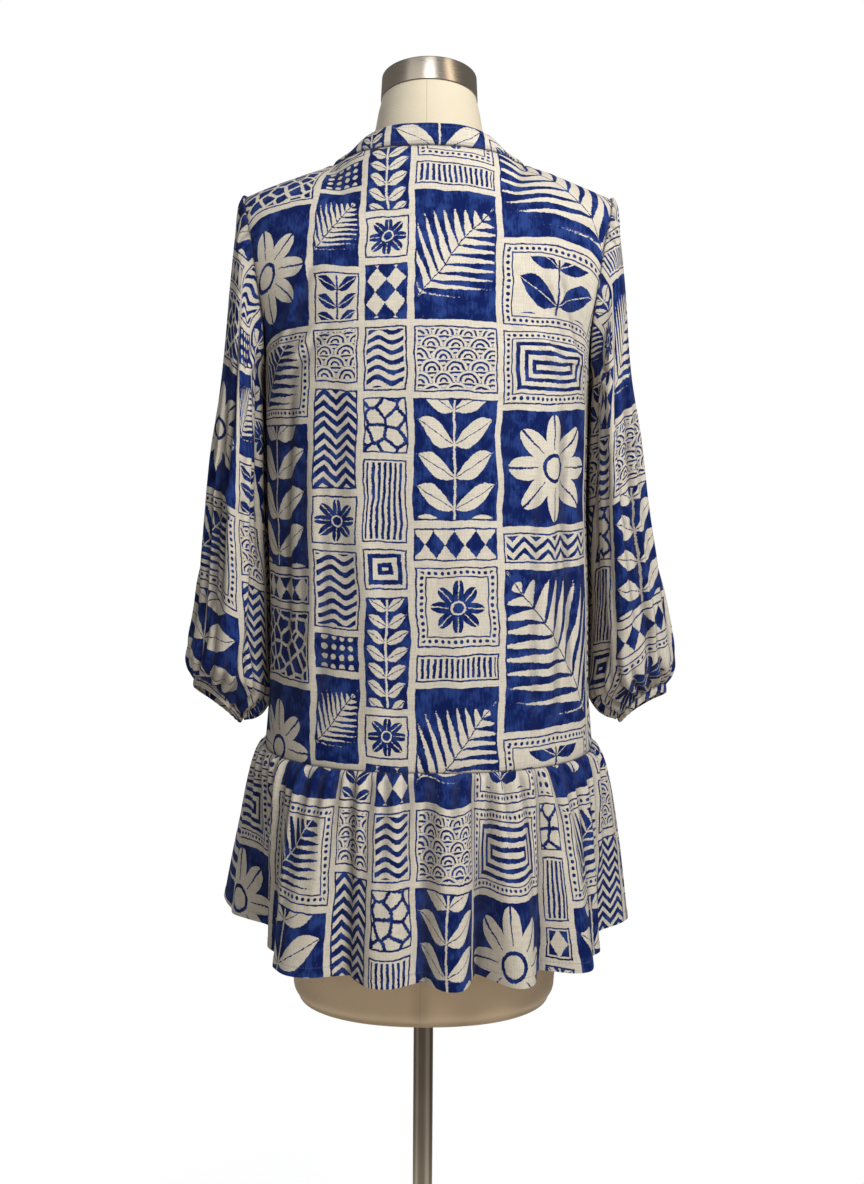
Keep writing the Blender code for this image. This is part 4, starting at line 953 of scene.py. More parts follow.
def shell(name, grid, normals, places, thickness, materials, seam, closed=False):
    """A closed shell of cloth about a grid of middle points, its inner face in the second
    material. The thickness is a number or one for each point; seam is each point's distance
    to the nearest sewn edge."""
    rows, columns = grid.shape[:2]
    half = np.broadcast_to(np.asarray(thickness, float), (rows, columns))[..., None] / 2
    points = np.concatenate([(grid + normals * half).reshape(-1, 3), (grid - normals * half).reshape(-1, 3)])
    numbers = np.arange(rows * columns).reshape(rows, columns)
    if closed:
        numbers = np.concatenate([numbers, numbers[:, :1]], axis=1)
    # Each corner of the outer and inner face, as its point's number and its flat coordinates
    a = np.concatenate([numbers[..., None], places], axis=2)
    b = a + [rows * columns, 0, 0]
    strips = [
        (a[:-1, :-1], a[:-1, 1:], a[1:, 1:], a[1:, :-1]),
        (b[1:, :-1], b[1:, 1:], b[:-1, 1:], b[:-1, :-1]),
        (a[0, 1:], a[0, :-1], b[0, :-1], b[0, 1:]),
        (a[-1, :-1], a[-1, 1:], b[-1, 1:], b[-1, :-1]),
    ]
    if not closed:
        strips.append((a[:-1, 0], a[1:, 0], b[1:, 0], b[:-1, 0]))
        strips.append((a[1:, -1], a[:-1, -1], b[:-1, -1], b[1:, -1]))
    strips = [np.stack(strip, axis=-2).reshape(-1, 4, 3) for strip in strips]
    corners = np.concatenate(strips)
    made = put(name, points, corners[..., 0].astype(int).tolist(), materials)
    made.data.uv_layers.new(name="flat").data.foreach_set("uv", corners[..., 1:].astype(np.float32).ravel())
    inner = np.concatenate([np.full(len(strip), index == 1) for index, strip in enumerate(strips)])
    made.data.polygons.foreach_set("material_index", inner.astype(np.int32))
    for attribute, values in (("hollow", hollows(grid, normals, closed)), ("seam", seam)):
        values = np.tile(np.broadcast_to(values, (rows, columns)).ravel(), 2).astype(np.float32)
        made.data.attributes.new(attribute, "FLOAT", "POINT").data.foreach_set("value", values)
    return made


def turned(name, rings, material, sharp=35.0):
    """A closed solid through stacked rings of points, capped at both ends."""
    points = np.array(rings, float).reshape(-1, 3)
    numbers = np.arange(len(points)).reshape(len(rings), -1)
    after = np.roll(numbers, -1, axis=1)
    sides = np.stack([numbers[:-1], after[:-1], after[1:], numbers[1:]], axis=-1).reshape(-1, 4)
    ends = [numbers[0, ::-1].tolist(), numbers[-1].tolist()]
    return put(name, points, sides.tolist() + ends, [material], sharp)


# Node materials


class Field:
    """A number at each place of a surface: arithmetic on it adds Math nodes to its node tree."""

    def __init__(self, nodes, socket):
        self.nodes = nodes
        self.socket = socket

    def math(self, operation, *others):
        return self.nodes.field("Math", dict(enumerate((self, *others))), operation=operation)

    def less_from(self, value):
        return self.math("MULTIPLY_ADD", -1.0, value)

    def step(self, edge=0.0, soft=0.00028):
        """Nought below the edge and one above it, with a soft change between."""
        values = {"Value": self, "From Min": edge - soft, "From Max": edge + soft}
        return self.nodes.field("MapRange", values, interpolation_type="SMOOTHSTEP")

    def mix(self, low, high):
        """The low value where this is nought and the high one where it is one."""
        return self.nodes.field("Mix", {0: self, 2: low, 3: high})


def math_method(operation):
    """A method of a field for one operation of the Math node."""
    return lambda field, *others: field.math(operation, *others)


FIELD_METHODS = {
    "__add__": "ADD", "__sub__": "SUBTRACT", "__mul__": "MULTIPLY", "__truediv__": "DIVIDE",
    "__abs__": "ABSOLUTE", "fract": "FRACT", "wave": "SINE", "cosine": "COSINE", "root": "SQRT",
    "floor": "FLOOR", "modulo": "MODULO", "power": "POWER", "angle_over": "ARCTAN2",
    "least": "MINIMUM", "most": "MAXIMUM", "over": "GREATER_THAN",
}
for method, operation in FIELD_METHODS.items():
    setattr(Field, method, math_method(operation))


class Nodes:
    """A node tree, with calls that add a node and set or link its inputs."""

    def __init__(self, tree):
        self.tree = tree

    def wire(self, value, socket):
        """Sets a socket to a number or colour, or links it to a field or another socket."""
        if isinstance(value, Field):
            value = value.socket
        if isinstance(value, bpy.types.NodeSocket):
            self.tree.links.new(value, socket)
        else:
            socket.default_value = value

    def add(self, kind, values=None, **settings):
        """A node with its settings, and with inputs by name or number."""
        node = self.tree.nodes.new("ShaderNode" + kind)
        for name, value in settings.items():
            setattr(node, name, value)
        for name, value in (values or {}).items():
            self.wire(value, node.inputs[name])
        return node

    def field(self, kind, values=None, output=0, **settings):
        """One output of a new node, as a field."""
        return Field(self, self.add(kind, values, **settings).outputs[output])

    def parts(self, kind, value):
        """The three parts of a vector or colour, as fields."""
        node = self.add("Separate" + kind, {0: value})
        return [Field(self, node.outputs[index]) for index in range(3)]

    def vector(self, operation, *values):
        """Arithmetic on vectors."""
        return self.add("VectorMath", dict(enumerate(values)), operation=operation).outputs[0]

    def noise(self, place, scale, detail=1.0, rough=0.5, dimensions="2D", output=0):
        """Noise; a scale for each axis stretches it, and output 1 is its colour."""
        if isinstance(scale, tuple):
            place = self.vector("MULTIPLY", place, scale)
            scale = 1.0
        values = {"Vector": place, "Scale": scale, "Detail": detail, "Roughness": rough}
        return self.field("TexNoise", values, output, noise_dimensions=dimensions)

    def blend(self, share, low, high):
        """The low colour where the share is nought and the high one where it is one."""
        return self.add("Mix", {0: share, 6: low, 7: high}, data_type="RGBA").outputs[2]

    def ramp(self, place, rows):
        """A stepped ramp whose colour and alpha are the four values of the row that a place is in."""
        node = self.add("ValToRGB", {0: place})
        ramp = node.color_ramp
        ramp.interpolation = "CONSTANT"
        for index, (start, values) in enumerate(rows):
            stop = ramp.elements[index] if index < 2 else ramp.elements.new(start)
            stop.position = start
            stop.color = values
        return node.outputs


# The print: a patchwork of plain, generic motifs in blue on cream. Each patch of a column is its
# height, its motif, and its marks: d for a dark ground, b for a dotted border, f for turned over.
# Sizes are in millimetres
REPEAT = (480.0, 520.0)
MOTIFS = ("fern", "leaves", "daisy", "scallops", "diamonds", "chevrons", "frames", "waves", "dots",
          "hatch", "pebbles")
PATCHES = (
    (92, ((150, "fern", "d"), (34, "hatch", ""), (88, "daisy", "b"), (40, "diamonds", "d"),
          (132, "leaves", "d"), (76, "scallops", ""))),
    (132, ((96, "leaves", "bf"), (172, "fern", "df"), (38, "chevrons", ""), (126, "daisy", "d"),
           (88, "frames", "b"))),
    (36, ((44, "dots", ""), (58, "chevrons", ""), (40, "daisy", "d"), (66, "waves", ""), (48, "frames", ""),
          (42, "daisy", ""), (60, "leaves", "d"), (38, "diamonds", ""), (70, "hatch", ""),
          (54, "pebbles", "d"))),
    (112, ((140, "daisy", "d"), (82, "pebbles", ""), (36, "diamonds", ""), (158, "leaves", "d"),
           (104, "fern", "b"))),
    (56, ((62, "leaves", ""), (94, "fern", "d"), (44, "dots", "d"), (86, "waves", ""), (58, "daisy", ""),
          (110, "chevrons", "d"), (66, "scallops", ""))),
    (52, ((70, "diamonds", "d"), (52, "daisy", ""), (120, "leaves", "df"), (48, "frames", ""),
          (92, "hatch", ""), (64, "pebbles", "d"), (74, "waves", ""))),
)
# The rest of the print is in metres
GUTTER = 0.0034           # half the cream gap between two patches
LINE = 0.0017             # a patch's outline
DARK_EDGE = 0.0034        # cream margin of a dark patch
BORDER = 0.0112           # width of a dotted border
BORDER_LINE = (0.0104, 0.0007)          # place and half width of its inner line
BEADS = (0.0066, 0.0060, 0.0019)        # spacing, place and radius of its dots
WOBBLES = ((19.0, 0.0075), (120.0, 0.0016))   # scale and reach of the hand-drawn wobble
BRUSH = (330.0, 520.0, 1.0)             # scale of the ragged edge of the ink
# Spacings of the small motifs, across and up
SCALLOP = (0.025, 0.0125)
DIAMOND = (0.021, 0.027)
CHEVRON = (0.026, 0.0115)
FRAME = 0.0095
WAVE = (0.031, 0.0105)
DOT = 0.0105
HATCH = 0.0058
PEBBLES = 62.0            # how many in a metre


def patch_rows(patches):
    """Rows for a ramp up one column of patches: its edges, motif and marks, each as a share."""
    rows = []
    start = 0.0
    for height, motif, marks in patches:
        code = ("d" in marks) + 2 * ("b" in marks) + 4 * ("f" in marks)
        end = start + height
        values = (start / REPEAT[1], end / REPEAT[1], (MOTIFS.index(motif) + 0.5) / 16, (code + 0.5) / 8)
        rows.append((start / REPEAT[1], values))
        start = end
    return rows


def stripes(value, pitch, share):
    """Even stripes along a value in metres, above nought on one side of the share."""
    return ((value / pitch).fract() - share) * pitch


def leaf_fields(x, y, small, wide):
    """The three motifs of leaves and petals: fern, leaves and daisy."""
    spine = x * 0.60 + y * 0.80
    beside = x * 0.80 - y * 0.60
    beside = beside + (spine * 11.0).cosine() * 0.006 - 0.003
    far = abs(beside)
    comb = ((spine - far * 0.75) / (small * 0.30) * FULL_TURN).wave()
    reach = (spine / (small * 1.35)).power(2.0).less_from(1.06).most(0.02) * small
    fern = (comb + 0.90 - far / reach * 1.75) * small * 0.05
    fern = fern.least(far - 0.0006)
    side = abs(x)
    pitch = (wide * 0.78).least(0.052)
    climb = (y - side * 0.62) / pitch
    leaf = ((side / wide * (math.pi / 0.90)).least(math.pi)).wave() * pitch * 0.37
    off = abs(climb.fract() - 0.5) * pitch
    leaves = (leaf - off).least(off - 0.0005).most(side.less_from(0.0011))
    radius = (x * x + y * y).root()
    angle = y.angle_over(x)
    lobes = abs((angle * 4.0).cosine())
    petals = (lobes * 0.44 + 0.50) * small - radius
    vein = (abs((angle * 4.0).wave()) - 0.10) * radius * 0.25
    rim = abs(radius - small * 0.23) - small * 0.035
    daisy = petals.least(rim).least(vein.most(small * 0.34 - radius))
    return fern, leaves, daisy


def motif_fields(nodes, x, y, small, wide, edge):
    """The motifs in the order of their names, about a patch's centre, each above nought where it is
    inked, in metres."""
    level = y / SCALLOP[1]
    odd = (level.floor() * 0.5).fract()
    across = abs((x / SCALLOP[0] + odd).fract() - 0.5)
    away = across.less_from(0.5)
    rise = level.fract()
    above = rise + 1.0
    near = ((across * across) * 4.0 + rise * rise).root()
    beyond = ((away * away) * 4.0 + above * above).root()
    ring = near.over(1.0).mix(near, beyond)
    scallops = ((ring * 2.6).fract() - 0.55) * 0.0045
    diamond = abs((x / DIAMOND[0]).fract() - 0.5) + abs((y / DIAMOND[1]).fract() - 0.5)
    diamonds = diamond.less_from(0.5) * 0.016
    slant = abs((x / CHEVRON[0]).fract() - 0.5) * 0.023
    chevrons = stripes(y + slant, CHEVRON[1], 0.55)
    frames = stripes(edge, FRAME, 0.52)
    waves = stripes(y + (x * (FULL_TURN / WAVE[0])).wave() * 0.0032, WAVE[1], 0.52)
    dot_x = (x / DOT).fract() - 0.5
    dot_y = (y / DOT).fract() - 0.5
    dots = ((dot_x * dot_x + dot_y * dot_y).root().less_from(0.30)) * DOT
    hatch = stripes(x, HATCH, 0.5)
    place = nodes.add("CombineXYZ", {"X": x, "Y": y}).outputs[0]
    cells = nodes.field("TexVoronoi", {"Vector": place, "Scale": PEBBLES, "Randomness": 0.8},
                        voronoi_dimensions="2D", feature="DISTANCE_TO_EDGE")
    pebbles = (cells - 0.11) * 0.012
    leafy = leaf_fields(x, y, small, wide)
    return (*leafy, scallops, diamonds, chevrons, frames, waves, dots, hatch, pebbles)


def make_print():
    """The print as a node group: ink from flat coordinates, with a hand-drawn wobble."""
    tree = bpy.data.node_groups.new("patchwork_print", "ShaderNodeTree")
    tree.interface.new_socket("Place", in_out="INPUT", socket_type="NodeSocketVector")
    tree.interface.new_socket("Ink", in_out="OUTPUT", socket_type="NodeSocketFloat")
    nodes = Nodes(tree)
    place = tree.nodes.new("NodeGroupInput").outputs[0]
    for scale, reach in WOBBLES:
        place = nodes.vector("MULTIPLY_ADD", nodes.noise(place, scale, output=1), (reach, reach, 0.0), place)
    size_x, size_y = (size * MM for size in REPEAT)
    across, up, _ = nodes.parts("XYZ", place)
    across = (across / size_x).fract()
    up = (up / size_y).fract()
    rows = []
    start = 0.0
    for index, (width, _) in enumerate(PATCHES):
        end = start + width
        rows.append((start / REPEAT[0], (start / REPEAT[0], end / REPEAT[0], (index + 0.5) / 8, 1.0)))
        start = end
    left, right, number = nodes.parts("Color", nodes.ramp(across, rows)[0])
    ramps = [nodes.ramp(up, patch_rows(patches)) for _, patches in PATCHES]
    colour = ramps[0][0]
    marks = Field(nodes, ramps[0][1])
    for index, ramp in enumerate(ramps[1:], 1):
        past = number.over(index / 8)
        colour = nodes.blend(past, colour, ramp[0])
        marks = past.mix(marks, ramp[1])
    low, high, motif = nodes.parts("Color", colour)
    marks = marks * 8.0
    turned_over = marks.over(4.0)
    marks = marks.modulo(4.0)
    bordered = marks.over(2.0)
    dark = marks.modulo(2.0).over(1.0)
    x = (across - (left + right) * 0.5) * size_x
    y = (up - (low + high) * 0.5) * size_y
    wide = (right - left) * (size_x / 2) - GUTTER
    tall = (high - low) * (size_y / 2) - GUTTER
    from_side = wide - abs(x)
    from_end = tall - abs(y)
    edge = from_side.least(from_end)
    x = x * turned_over.mix(1.0, -1.0)
    inset = bordered.mix(0.0, BORDER)
    wide = wide - inset
    small = wide.least(tall - inset)
    fields = motif_fields(nodes, x, y, small, wide, edge)
    drawn = fields[0]
    for index, field in enumerate(fields[1:], 1):
        drawn = motif.over(index / 16).mix(drawn, field)
    brush = nodes.noise(place, BRUSH, 2.0, 0.65) - 0.5
    ink = (drawn + brush * 0.0022).step()
    ink = dark.mix(ink, ink.less_from(1.0))
    ink = ink * (edge - inset - dark.mix(DARK_EDGE, 0.0)).step()
    spacing, rise, radius = BEADS
    run = (from_side - from_end).over(0.0).mix(y, x)
    bead = stripes(run, spacing, 0.5)
    rise = edge - rise
    bead = (bead * bead + rise * rise).root().less_from(radius).step()
    at, half = BORDER_LINE
    second = abs(edge - at).less_from(half).step()
    ink = ink.most(bead.most(second) * bordered)
    outline = (abs(edge - LINE / 2).less_from(LINE / 2) + brush * 0.0012).step()
    nodes.wire(ink.most(outline), tree.nodes.new("NodeGroupOutput").inputs[0])
    return tree


CREAM = (0.79, 0.725, 0.605, 1.0)
CREAM_SHADE = (0.66, 0.605, 0.51, 1.0)
BLUE_DARK = (0.0045, 0.014, 0.100, 1.0)
BLUE_MID = (0.024, 0.056, 0.235, 1.0)
REVERSE = (0.62, 0.60, 0.585, 1.0)      # what pales the print on the cloth's inner side
THREAD = (0.12, 0.13, 0.22, 1.0)
# Painted shade of the cloth, along its seams and in the hollows of its folds
CLOTH_PAINTED_SHADE = (0.035, 0.035, 0.060, 1.0)
STITCH = 0.0032           # length of a stitch and its gap
STITCH_HALF = 0.0006      # half a row of stitches, across
SEAM_LINE = (0.0013, 0.0009)            # edge and softness of the line of painted shade along a seam
SEAM_SHADE = (0.004, 0.004)             # and of the shade beside it
JERSEY_LOW = (0.78, 0.685, 0.515, 1.0)
JERSEY_HIGH = (0.86, 0.77, 0.595, 1.0)
# painted warm bounce light, towards the bottom of the form
JERSEY_BOUNCE_WARM = (0.88, 0.675, 0.445, 1.0)
JERSEY_FUZZ = (0.55, 0.46, 0.32, 1.0)
# painted shade on the form, also the colour of its centre-back seam line
JERSEY_SHADE = (0.30, 0.22, 0.14, 1.0)
JERSEY_KNIT = (0.0014, 0.0016)          # pitch of the knit's rows and wales
SPINE_X = 0.0030          # where the form's centre-back seam runs


def new_material(name):
    """A material, its node tree and its shader."""
    material = bpy.data.materials.new(name)
    material.use_nodes = True
    return material, Nodes(material.node_tree), material.node_tree.nodes["Principled BSDF"]


def finish_material(nodes, shader, values, height, strength, distance):
    """Sets or links the shader's inputs, and its bump from a height."""
    bump = nodes.add("Bump", {"Height": height, "Strength": strength, "Distance": distance})
    for name, value in (*values.items(), ("Normal", bump.outputs[0])):
        nodes.wire(value, shader.inputs[name])


def cloth_material(name, pattern, shift, stitches=(), reverse=False):
    """Matte printed cloth with slubs in its weave, uneven ink, and rows of stitches at the given
    heights of the piece's flat cloth, with painted shade along its seams and in the hollows of its folds."""
    material, nodes, shader = new_material(name)
    flat = nodes.add("UVMap", uv_map="flat").outputs[0]
    place = nodes.vector("ADD", flat, (*shift, 0.0))
    ink = nodes.field("Group", {0: place}, node_tree=pattern)
    streaks = nodes.noise(place, (420.0, 95.0, 1.0), detail=2.0, rough=0.6)
    washes = nodes.noise(place, 55.0, detail=2.0, rough=0.55)
    weave = nodes.noise(place, (60.0, 760.0, 1.0)) + nodes.noise(place, (760.0, 70.0, 1.0))
    ink = ink * (streaks * 0.6 + weave * 0.4).step(0.40, 0.09).mix(0.72, 1.0)
    tone = (washes * 0.75 + streaks * 0.45).step(0.64, 0.15)
    blue = nodes.blend(tone, BLUE_DARK, BLUE_MID)
    ground = nodes.blend(weave.step(1.0, 0.35), CREAM_SHADE, CREAM)
    colour = nodes.blend(ink, ground, blue)
    if reverse:
        colour = nodes.blend(0.55, colour, REVERSE)
    height = weave * 0.5
    if stitches:
        across, up, _ = nodes.parts("XYZ", flat)
        dash = abs((across / STITCH).fract() - 0.5).less_from(0.36).step(0.0, 0.06)
        lines = [abs(up - at).less_from(STITCH_HALF).step() for at in stitches]
        total = lines[0]
        for line in lines[1:]:
            total = total.most(line)
        colour = nodes.blend(total * dash * 0.30, colour, THREAD)
        height = height - total * dash.mix(0.8, 0.2)
    # Painted shade along the seams: a dark line in each seam and softer shade beside it
    near = nodes.field("Attribute", output="Fac", attribute_name="seam")
    line = near.step(*SEAM_LINE).less_from(1.0)
    shade = near.step(*SEAM_SHADE).less_from(1.0)
    colour = nodes.blend(line * 0.55 + shade * 0.20, colour, CLOTH_PAINTED_SHADE)
    # Painted shade in the hollows of the folds
    hollow = nodes.field("Attribute", output="Fac", attribute_name="hollow")
    colour = nodes.blend(hollow * HOLLOW_SHADE, colour, CLOTH_PAINTED_SHADE)
    values = {"Base Color": colour, "Roughness": 0.86, "Specular IOR Level": 0.15, "Sheen Weight": 0.04,
              "Sheen Roughness": 0.5}
    finish_material(nodes, shader, values, height - line * 1.5, 0.5, 0.00035)
    return material


def form_material():
    """Cream jersey pulled smooth over the form, with its centre-back seam, and shaded below the
    cap, under the hem, along the lower rim and at the sides."""
    material, nodes, shader = new_material("form_jersey")
    place = nodes.add("TexCoord").outputs["Object"]
    x, y, z = nodes.parts("XYZ", place)
    rows, wales = JERSEY_KNIT
    knit = ((z * (FULL_TURN / rows)).wave() + ((x + y) * (FULL_TURN / wales)).wave()) * 0.25
    mottle = nodes.noise(place, 14.0, 3.0, dimensions="3D")
    fuzz = nodes.noise(place, 900.0, 2.0, dimensions="3D")
    base = nodes.blend(mottle.step(0.5, 0.3), JERSEY_LOW, JERSEY_HIGH)
    # Painted warm bounce light: the jersey turns warmer towards the bottom
    base = nodes.blend(z.step(0.66, 0.12), JERSEY_BOUNCE_WARM, base)
    base = nodes.blend((fuzz + knit).step(0.35, 0.3) * 0.16, base, JERSEY_FUZZ)
    off = abs(x - SPINE_X)
    behind = y.step(0.0, 0.01)
    low = z.less_from(0.56).step(0.0, 0.03)
    seam = off.less_from(0.0005).step(0.0, 0.0005) * behind
    # Painted shade: a shadow line under the cap, a soft band down the centre back low on the form, the lower
    # rim and the lower sides
    cap_shadow = (z - y * 0.25).step(NECK_TOP - 0.0006, 0.0010)
    spine = off.less_from(0.0085).step(0.0, 0.0065) * (low * behind)
    rim = z.less_from(0.5165).step(0.0, 0.0085)
    sides = abs(x).step(0.122, 0.026) * low
    shade = (spine * 0.26).most(rim * 0.70).most(sides * 0.34)
    base = nodes.blend(shade, base, JERSEY_SHADE)
    # The centre-back seam line, which is the jersey's own, with the painted shadow under the cap
    colour = nodes.blend((seam * 0.22).most(cap_shadow * 0.75), base, JERSEY_SHADE)
    values = {"Base Color": colour, "Roughness": 0.82, "Specular IOR Level": 0.25, "Sheen Weight": 0.15,
              "Sheen Roughness": 0.5}
    finish_material(nodes, shader, values, knit * 0.5 + fuzz - seam * 2.0, 0.35, 0.0004)
    return material


def steel_material(name, light, dark, roughness, grain, metallic=1.0, lines=()):
    """Brushed or painted steel: the grain is its scale along the object's three axes. The lines are painted
    reflections, some light and some dark, that run down the piece: each one's place across, half width,
    strength and colour."""
    material, nodes, shader = new_material(name)
    place = nodes.add("TexCoord").outputs["Object"]
    streaks = nodes.noise(place, grain, 3.0, dimensions="3D")
    smudges = nodes.noise(place, 22.0, 2.0, dimensions="3D")
    colour = nodes.blend(streaks * 0.7 + smudges * 0.3, dark, light)
    # Painted reflections: light and dark lines down the piece
    if lines:
        across = nodes.parts("XYZ", place)[0]
        for at, half, strength, painted_colour in lines:
            line = abs(across - at).less_from(half).step(0.0, half * 0.8)
            colour = nodes.blend(line * strength, colour, painted_colour)
    rough = streaks * 0.16 + smudges * 0.10 + (roughness - 0.13)
    values = {"Base Color": colour, "Roughness": rough, "Metallic": metallic}
    finish_material(nodes, shader, values, streaks, 0.05, 0.0002)
    return material


# The dress form and its stand


def form_ring(z, side, half, middle=0.0, square=2.0, tilt=0.0):
    """One ring of the form: half width, half depth, its middle's depth, exponent and tilt."""
    ring = []
    for step in range(RING_SIDES):
        across, along = oval(-FULL_TURN * step / RING_SIDES, square)
        ring.append((across * side, middle + along * half, z + tilt * along * half))
    return ring


def make_form():
    """The dress form's torso from the part's sections, drawn smooth, with the pole's hole."""
    heights = column(FORM, FORM_COLUMNS, "z")
    fine = finer(heights[:, None, None], (FORM_FINER,))[:-1, 0, 0]
    values = {name: smooth(heights, column(FORM, FORM_COLUMNS, name), fine) for name in FORM_COLUMNS}
    under = ease(*FORM_INSET_FROM, fine) * (1 - ease(*FORM_INSET_TO, fine)) * FORM_INSET
    under = under + NECK_INSET * ease(*NECK_INSET_FROM, fine)
    reach = POLE_RADIUS + SEAM_GAP
    rings = [form_ring(z, reach, reach) for z in (heights[0] + POLE_IN_FORM, heights[0])]
    for index, z in enumerate(fine):
        row = {name: values[name][index] for name in FORM_COLUMNS}
        side = row["side"] - under[index]
        half = (row["back"] - row["front"]) / 2 - under[index]
        rings.append(form_ring(z, side, half, (row["back"] + row["front"]) / 2, row["square"], row["tilt"]))
    return turned("torso_cover", rings, form_material(), CLOTH_SHARP)


def make_cap(material):
    """The metal cap on the neck."""
    top = named(FORM[-1], FORM_COLUMNS)
    middle = Vector((0.0, (top["back"] + top["front"]) / 2, top["z"]))
    axis = Vector((0.0, -top["tilt"], 1.0)).normalized()
    side = Vector((1.0, 0.0, 0.0))
    back = axis.cross(side)
    rings = []
    for radius, height in CAP_PROFILE:
        centre = middle + axis * (height + SEAM_GAP - CAP_DROP)
        turns = [FULL_TURN * index / RING_SIDES for index in range(RING_SIDES)]
        rings.append([centre + (side * math.cos(turn) + back * math.sin(turn)) * radius for turn in turns])
    return turned("cap_cover", rings, material)


def make_round(name, profile, material, sides):
    """A solid of revolution about the stand's axis, through (radius, height) rings."""
    turns = [FULL_TURN * index / sides for index in range(sides)]
    rings = []
    for radius, height in profile:
        rings.append([(radius * math.cos(turn), radius * math.sin(turn), height) for turn in turns])
    return turned(name, rings, material)


# The dress


def sew(pattern, made, name, node, look, held, grid, normals, places, seam, shift, **options):
    """Makes one piece, its cloth and its lining, and keeps its node, flat size, area and how it is held.
    Options are the shell's, the cloth's rows of stitches, and doubled where the inner side is the same."""
    stitches = options.get("stitches", ())
    cloth = cloth_material("cloth_" + look, pattern, shift, stitches)
    lining = cloth
    if not options.get("doubled"):
        lining = cloth_material("lining_" + look, pattern, shift, reverse=True)
    thickness = options.get("thickness", SHELL)
    closed = options.get("closed", False)
    piece = shell(name, grid, normals, places, thickness, (cloth, lining), seam, closed)
    flat = places.reshape(-1, 2)
    width, length = flat.max(axis=0) - flat.min(axis=0)
    made.append((piece, node, (float(width), float(length)), flat_area(places), held))


def make_panels(keep, tree, grids):
    """The back and front, clear of the dress form."""
    fine = [finer(grid, PANEL_FINER) for grid in grids]
    for (side, lines, shift), grid, normal in zip(PANEL_LOOKS, fine, shared_normals(fine)):
        places = flat_places(grid, grid.shape[1] // 2)
        across, up = places[..., 0], places[..., 1]
        down = up[-1:] - up
        sides = np.minimum(across - across[:, :1], across[:, -1:] - across)
        seam = np.minimum(sides, np.minimum(up, down))
        move = fold_lift(across, up, lines) * ease(0.0, PANEL_FADE, seam)
        move = move + edge_roll(up) + edge_roll(down) + edge_roll(sides, SIDE_ROLL)
        grid = clear_of(swayed(grid), normal, move, tree)
        keep("dress_" + side, side + "_panel", side, "hung", grid, normal, places, seam, shift)


def make_band(keep, band):
    """The neckband, rounded along its free edge."""
    grid = finer(band, BAND_FINER, closed=True)
    normal = grid_normals(grid, True)
    places = flat_places(grid, NECK_STEPS * BAND_FINER[1], closed=True)
    up = places[:, :-1, 1]
    top = up[-1:]
    move = edge_roll(up, *BAND_ROLL) + BAND_CROWN * np.sin(np.clip(up / top, 0, 1) * math.pi)
    thickness = BAND_THICK + edge_roll(top - up, EDGE_THINNER, BAND_ROUND)
    grid = grid + normal * move[..., None]
    keep("collar_band", "neckband", "band", "stretched", grid, normal, places, up, BAND_SHIFT,
         thickness=thickness, stitches=BAND_STITCHES, doubled=True, closed=True)


def wrist_lift(end, turns, seam):
    """How far a sleeve's end moves up at degrees round; seam is 1 at the cuff's seam, 0 at its free edge."""
    outer = (1 + np.cos(np.radians(turns))) / 2
    inner = (1 - outer) ** 2
    middle = np.sin(np.radians(turns)) ** 2
    ends = end["rise"] * (1 - seam) - end["drop"] * seam
    return end["lift"] * outer + end["arch"] * middle + inner * ends


def tube_turns(columns, times):
    """Degrees round for each fine column of a sleeve or cuff."""
    turns = np.unwrap(np.radians(columns))
    turns = np.concatenate([turns, turns[:1] + math.copysign(FULL_TURN, turns[1] - turns[0])])
    fine = np.interp(np.arange(len(columns) * times) / times, np.arange(len(turns)), turns)
    return np.degrees(fine)


def waves(around, table):
    """Uneven waves round a tube, at degrees round."""
    turn = np.radians(around)
    total = 0.0
    for values in table:
        row = named(values, WAVES)
        wobble = row["wobble"] * np.sin(turn * row["wobbles"] + row["wobble_start"])
        total = total + row["share"] * np.cos(turn * row["count"] + wobble + row["start"])
    return total


def sleeve_move(around, up, lines):
    """How far a sleeve's cloth lies out from its smooth tube: its folds, the gathers at its lower
    end with the puff above them, and the puckers at its head."""
    down = up[-1:] - up
    move = fold_lift(around, up, lines, SLEEVE_DEGREE) * ease(*HEAD_FADE, down) * ease(*END_FADE, up)
    gathers = waves(around, WRIST_WAVES) * (1 - ease(*GATHER_FADE, up)) * ease(*GATHER_START, up)
    move += WRIST_GATHER * gathers + WRIST_PUFF * bell(up, *PUFF_PLACE)
    puckers = waves(around, HEAD_WAVES) * bell(down, *PUCKER_PLACE)
    return move + HEAD_PUCKER * puckers * (1 - ease(*PUCKER_TURNS, np.abs(around)))


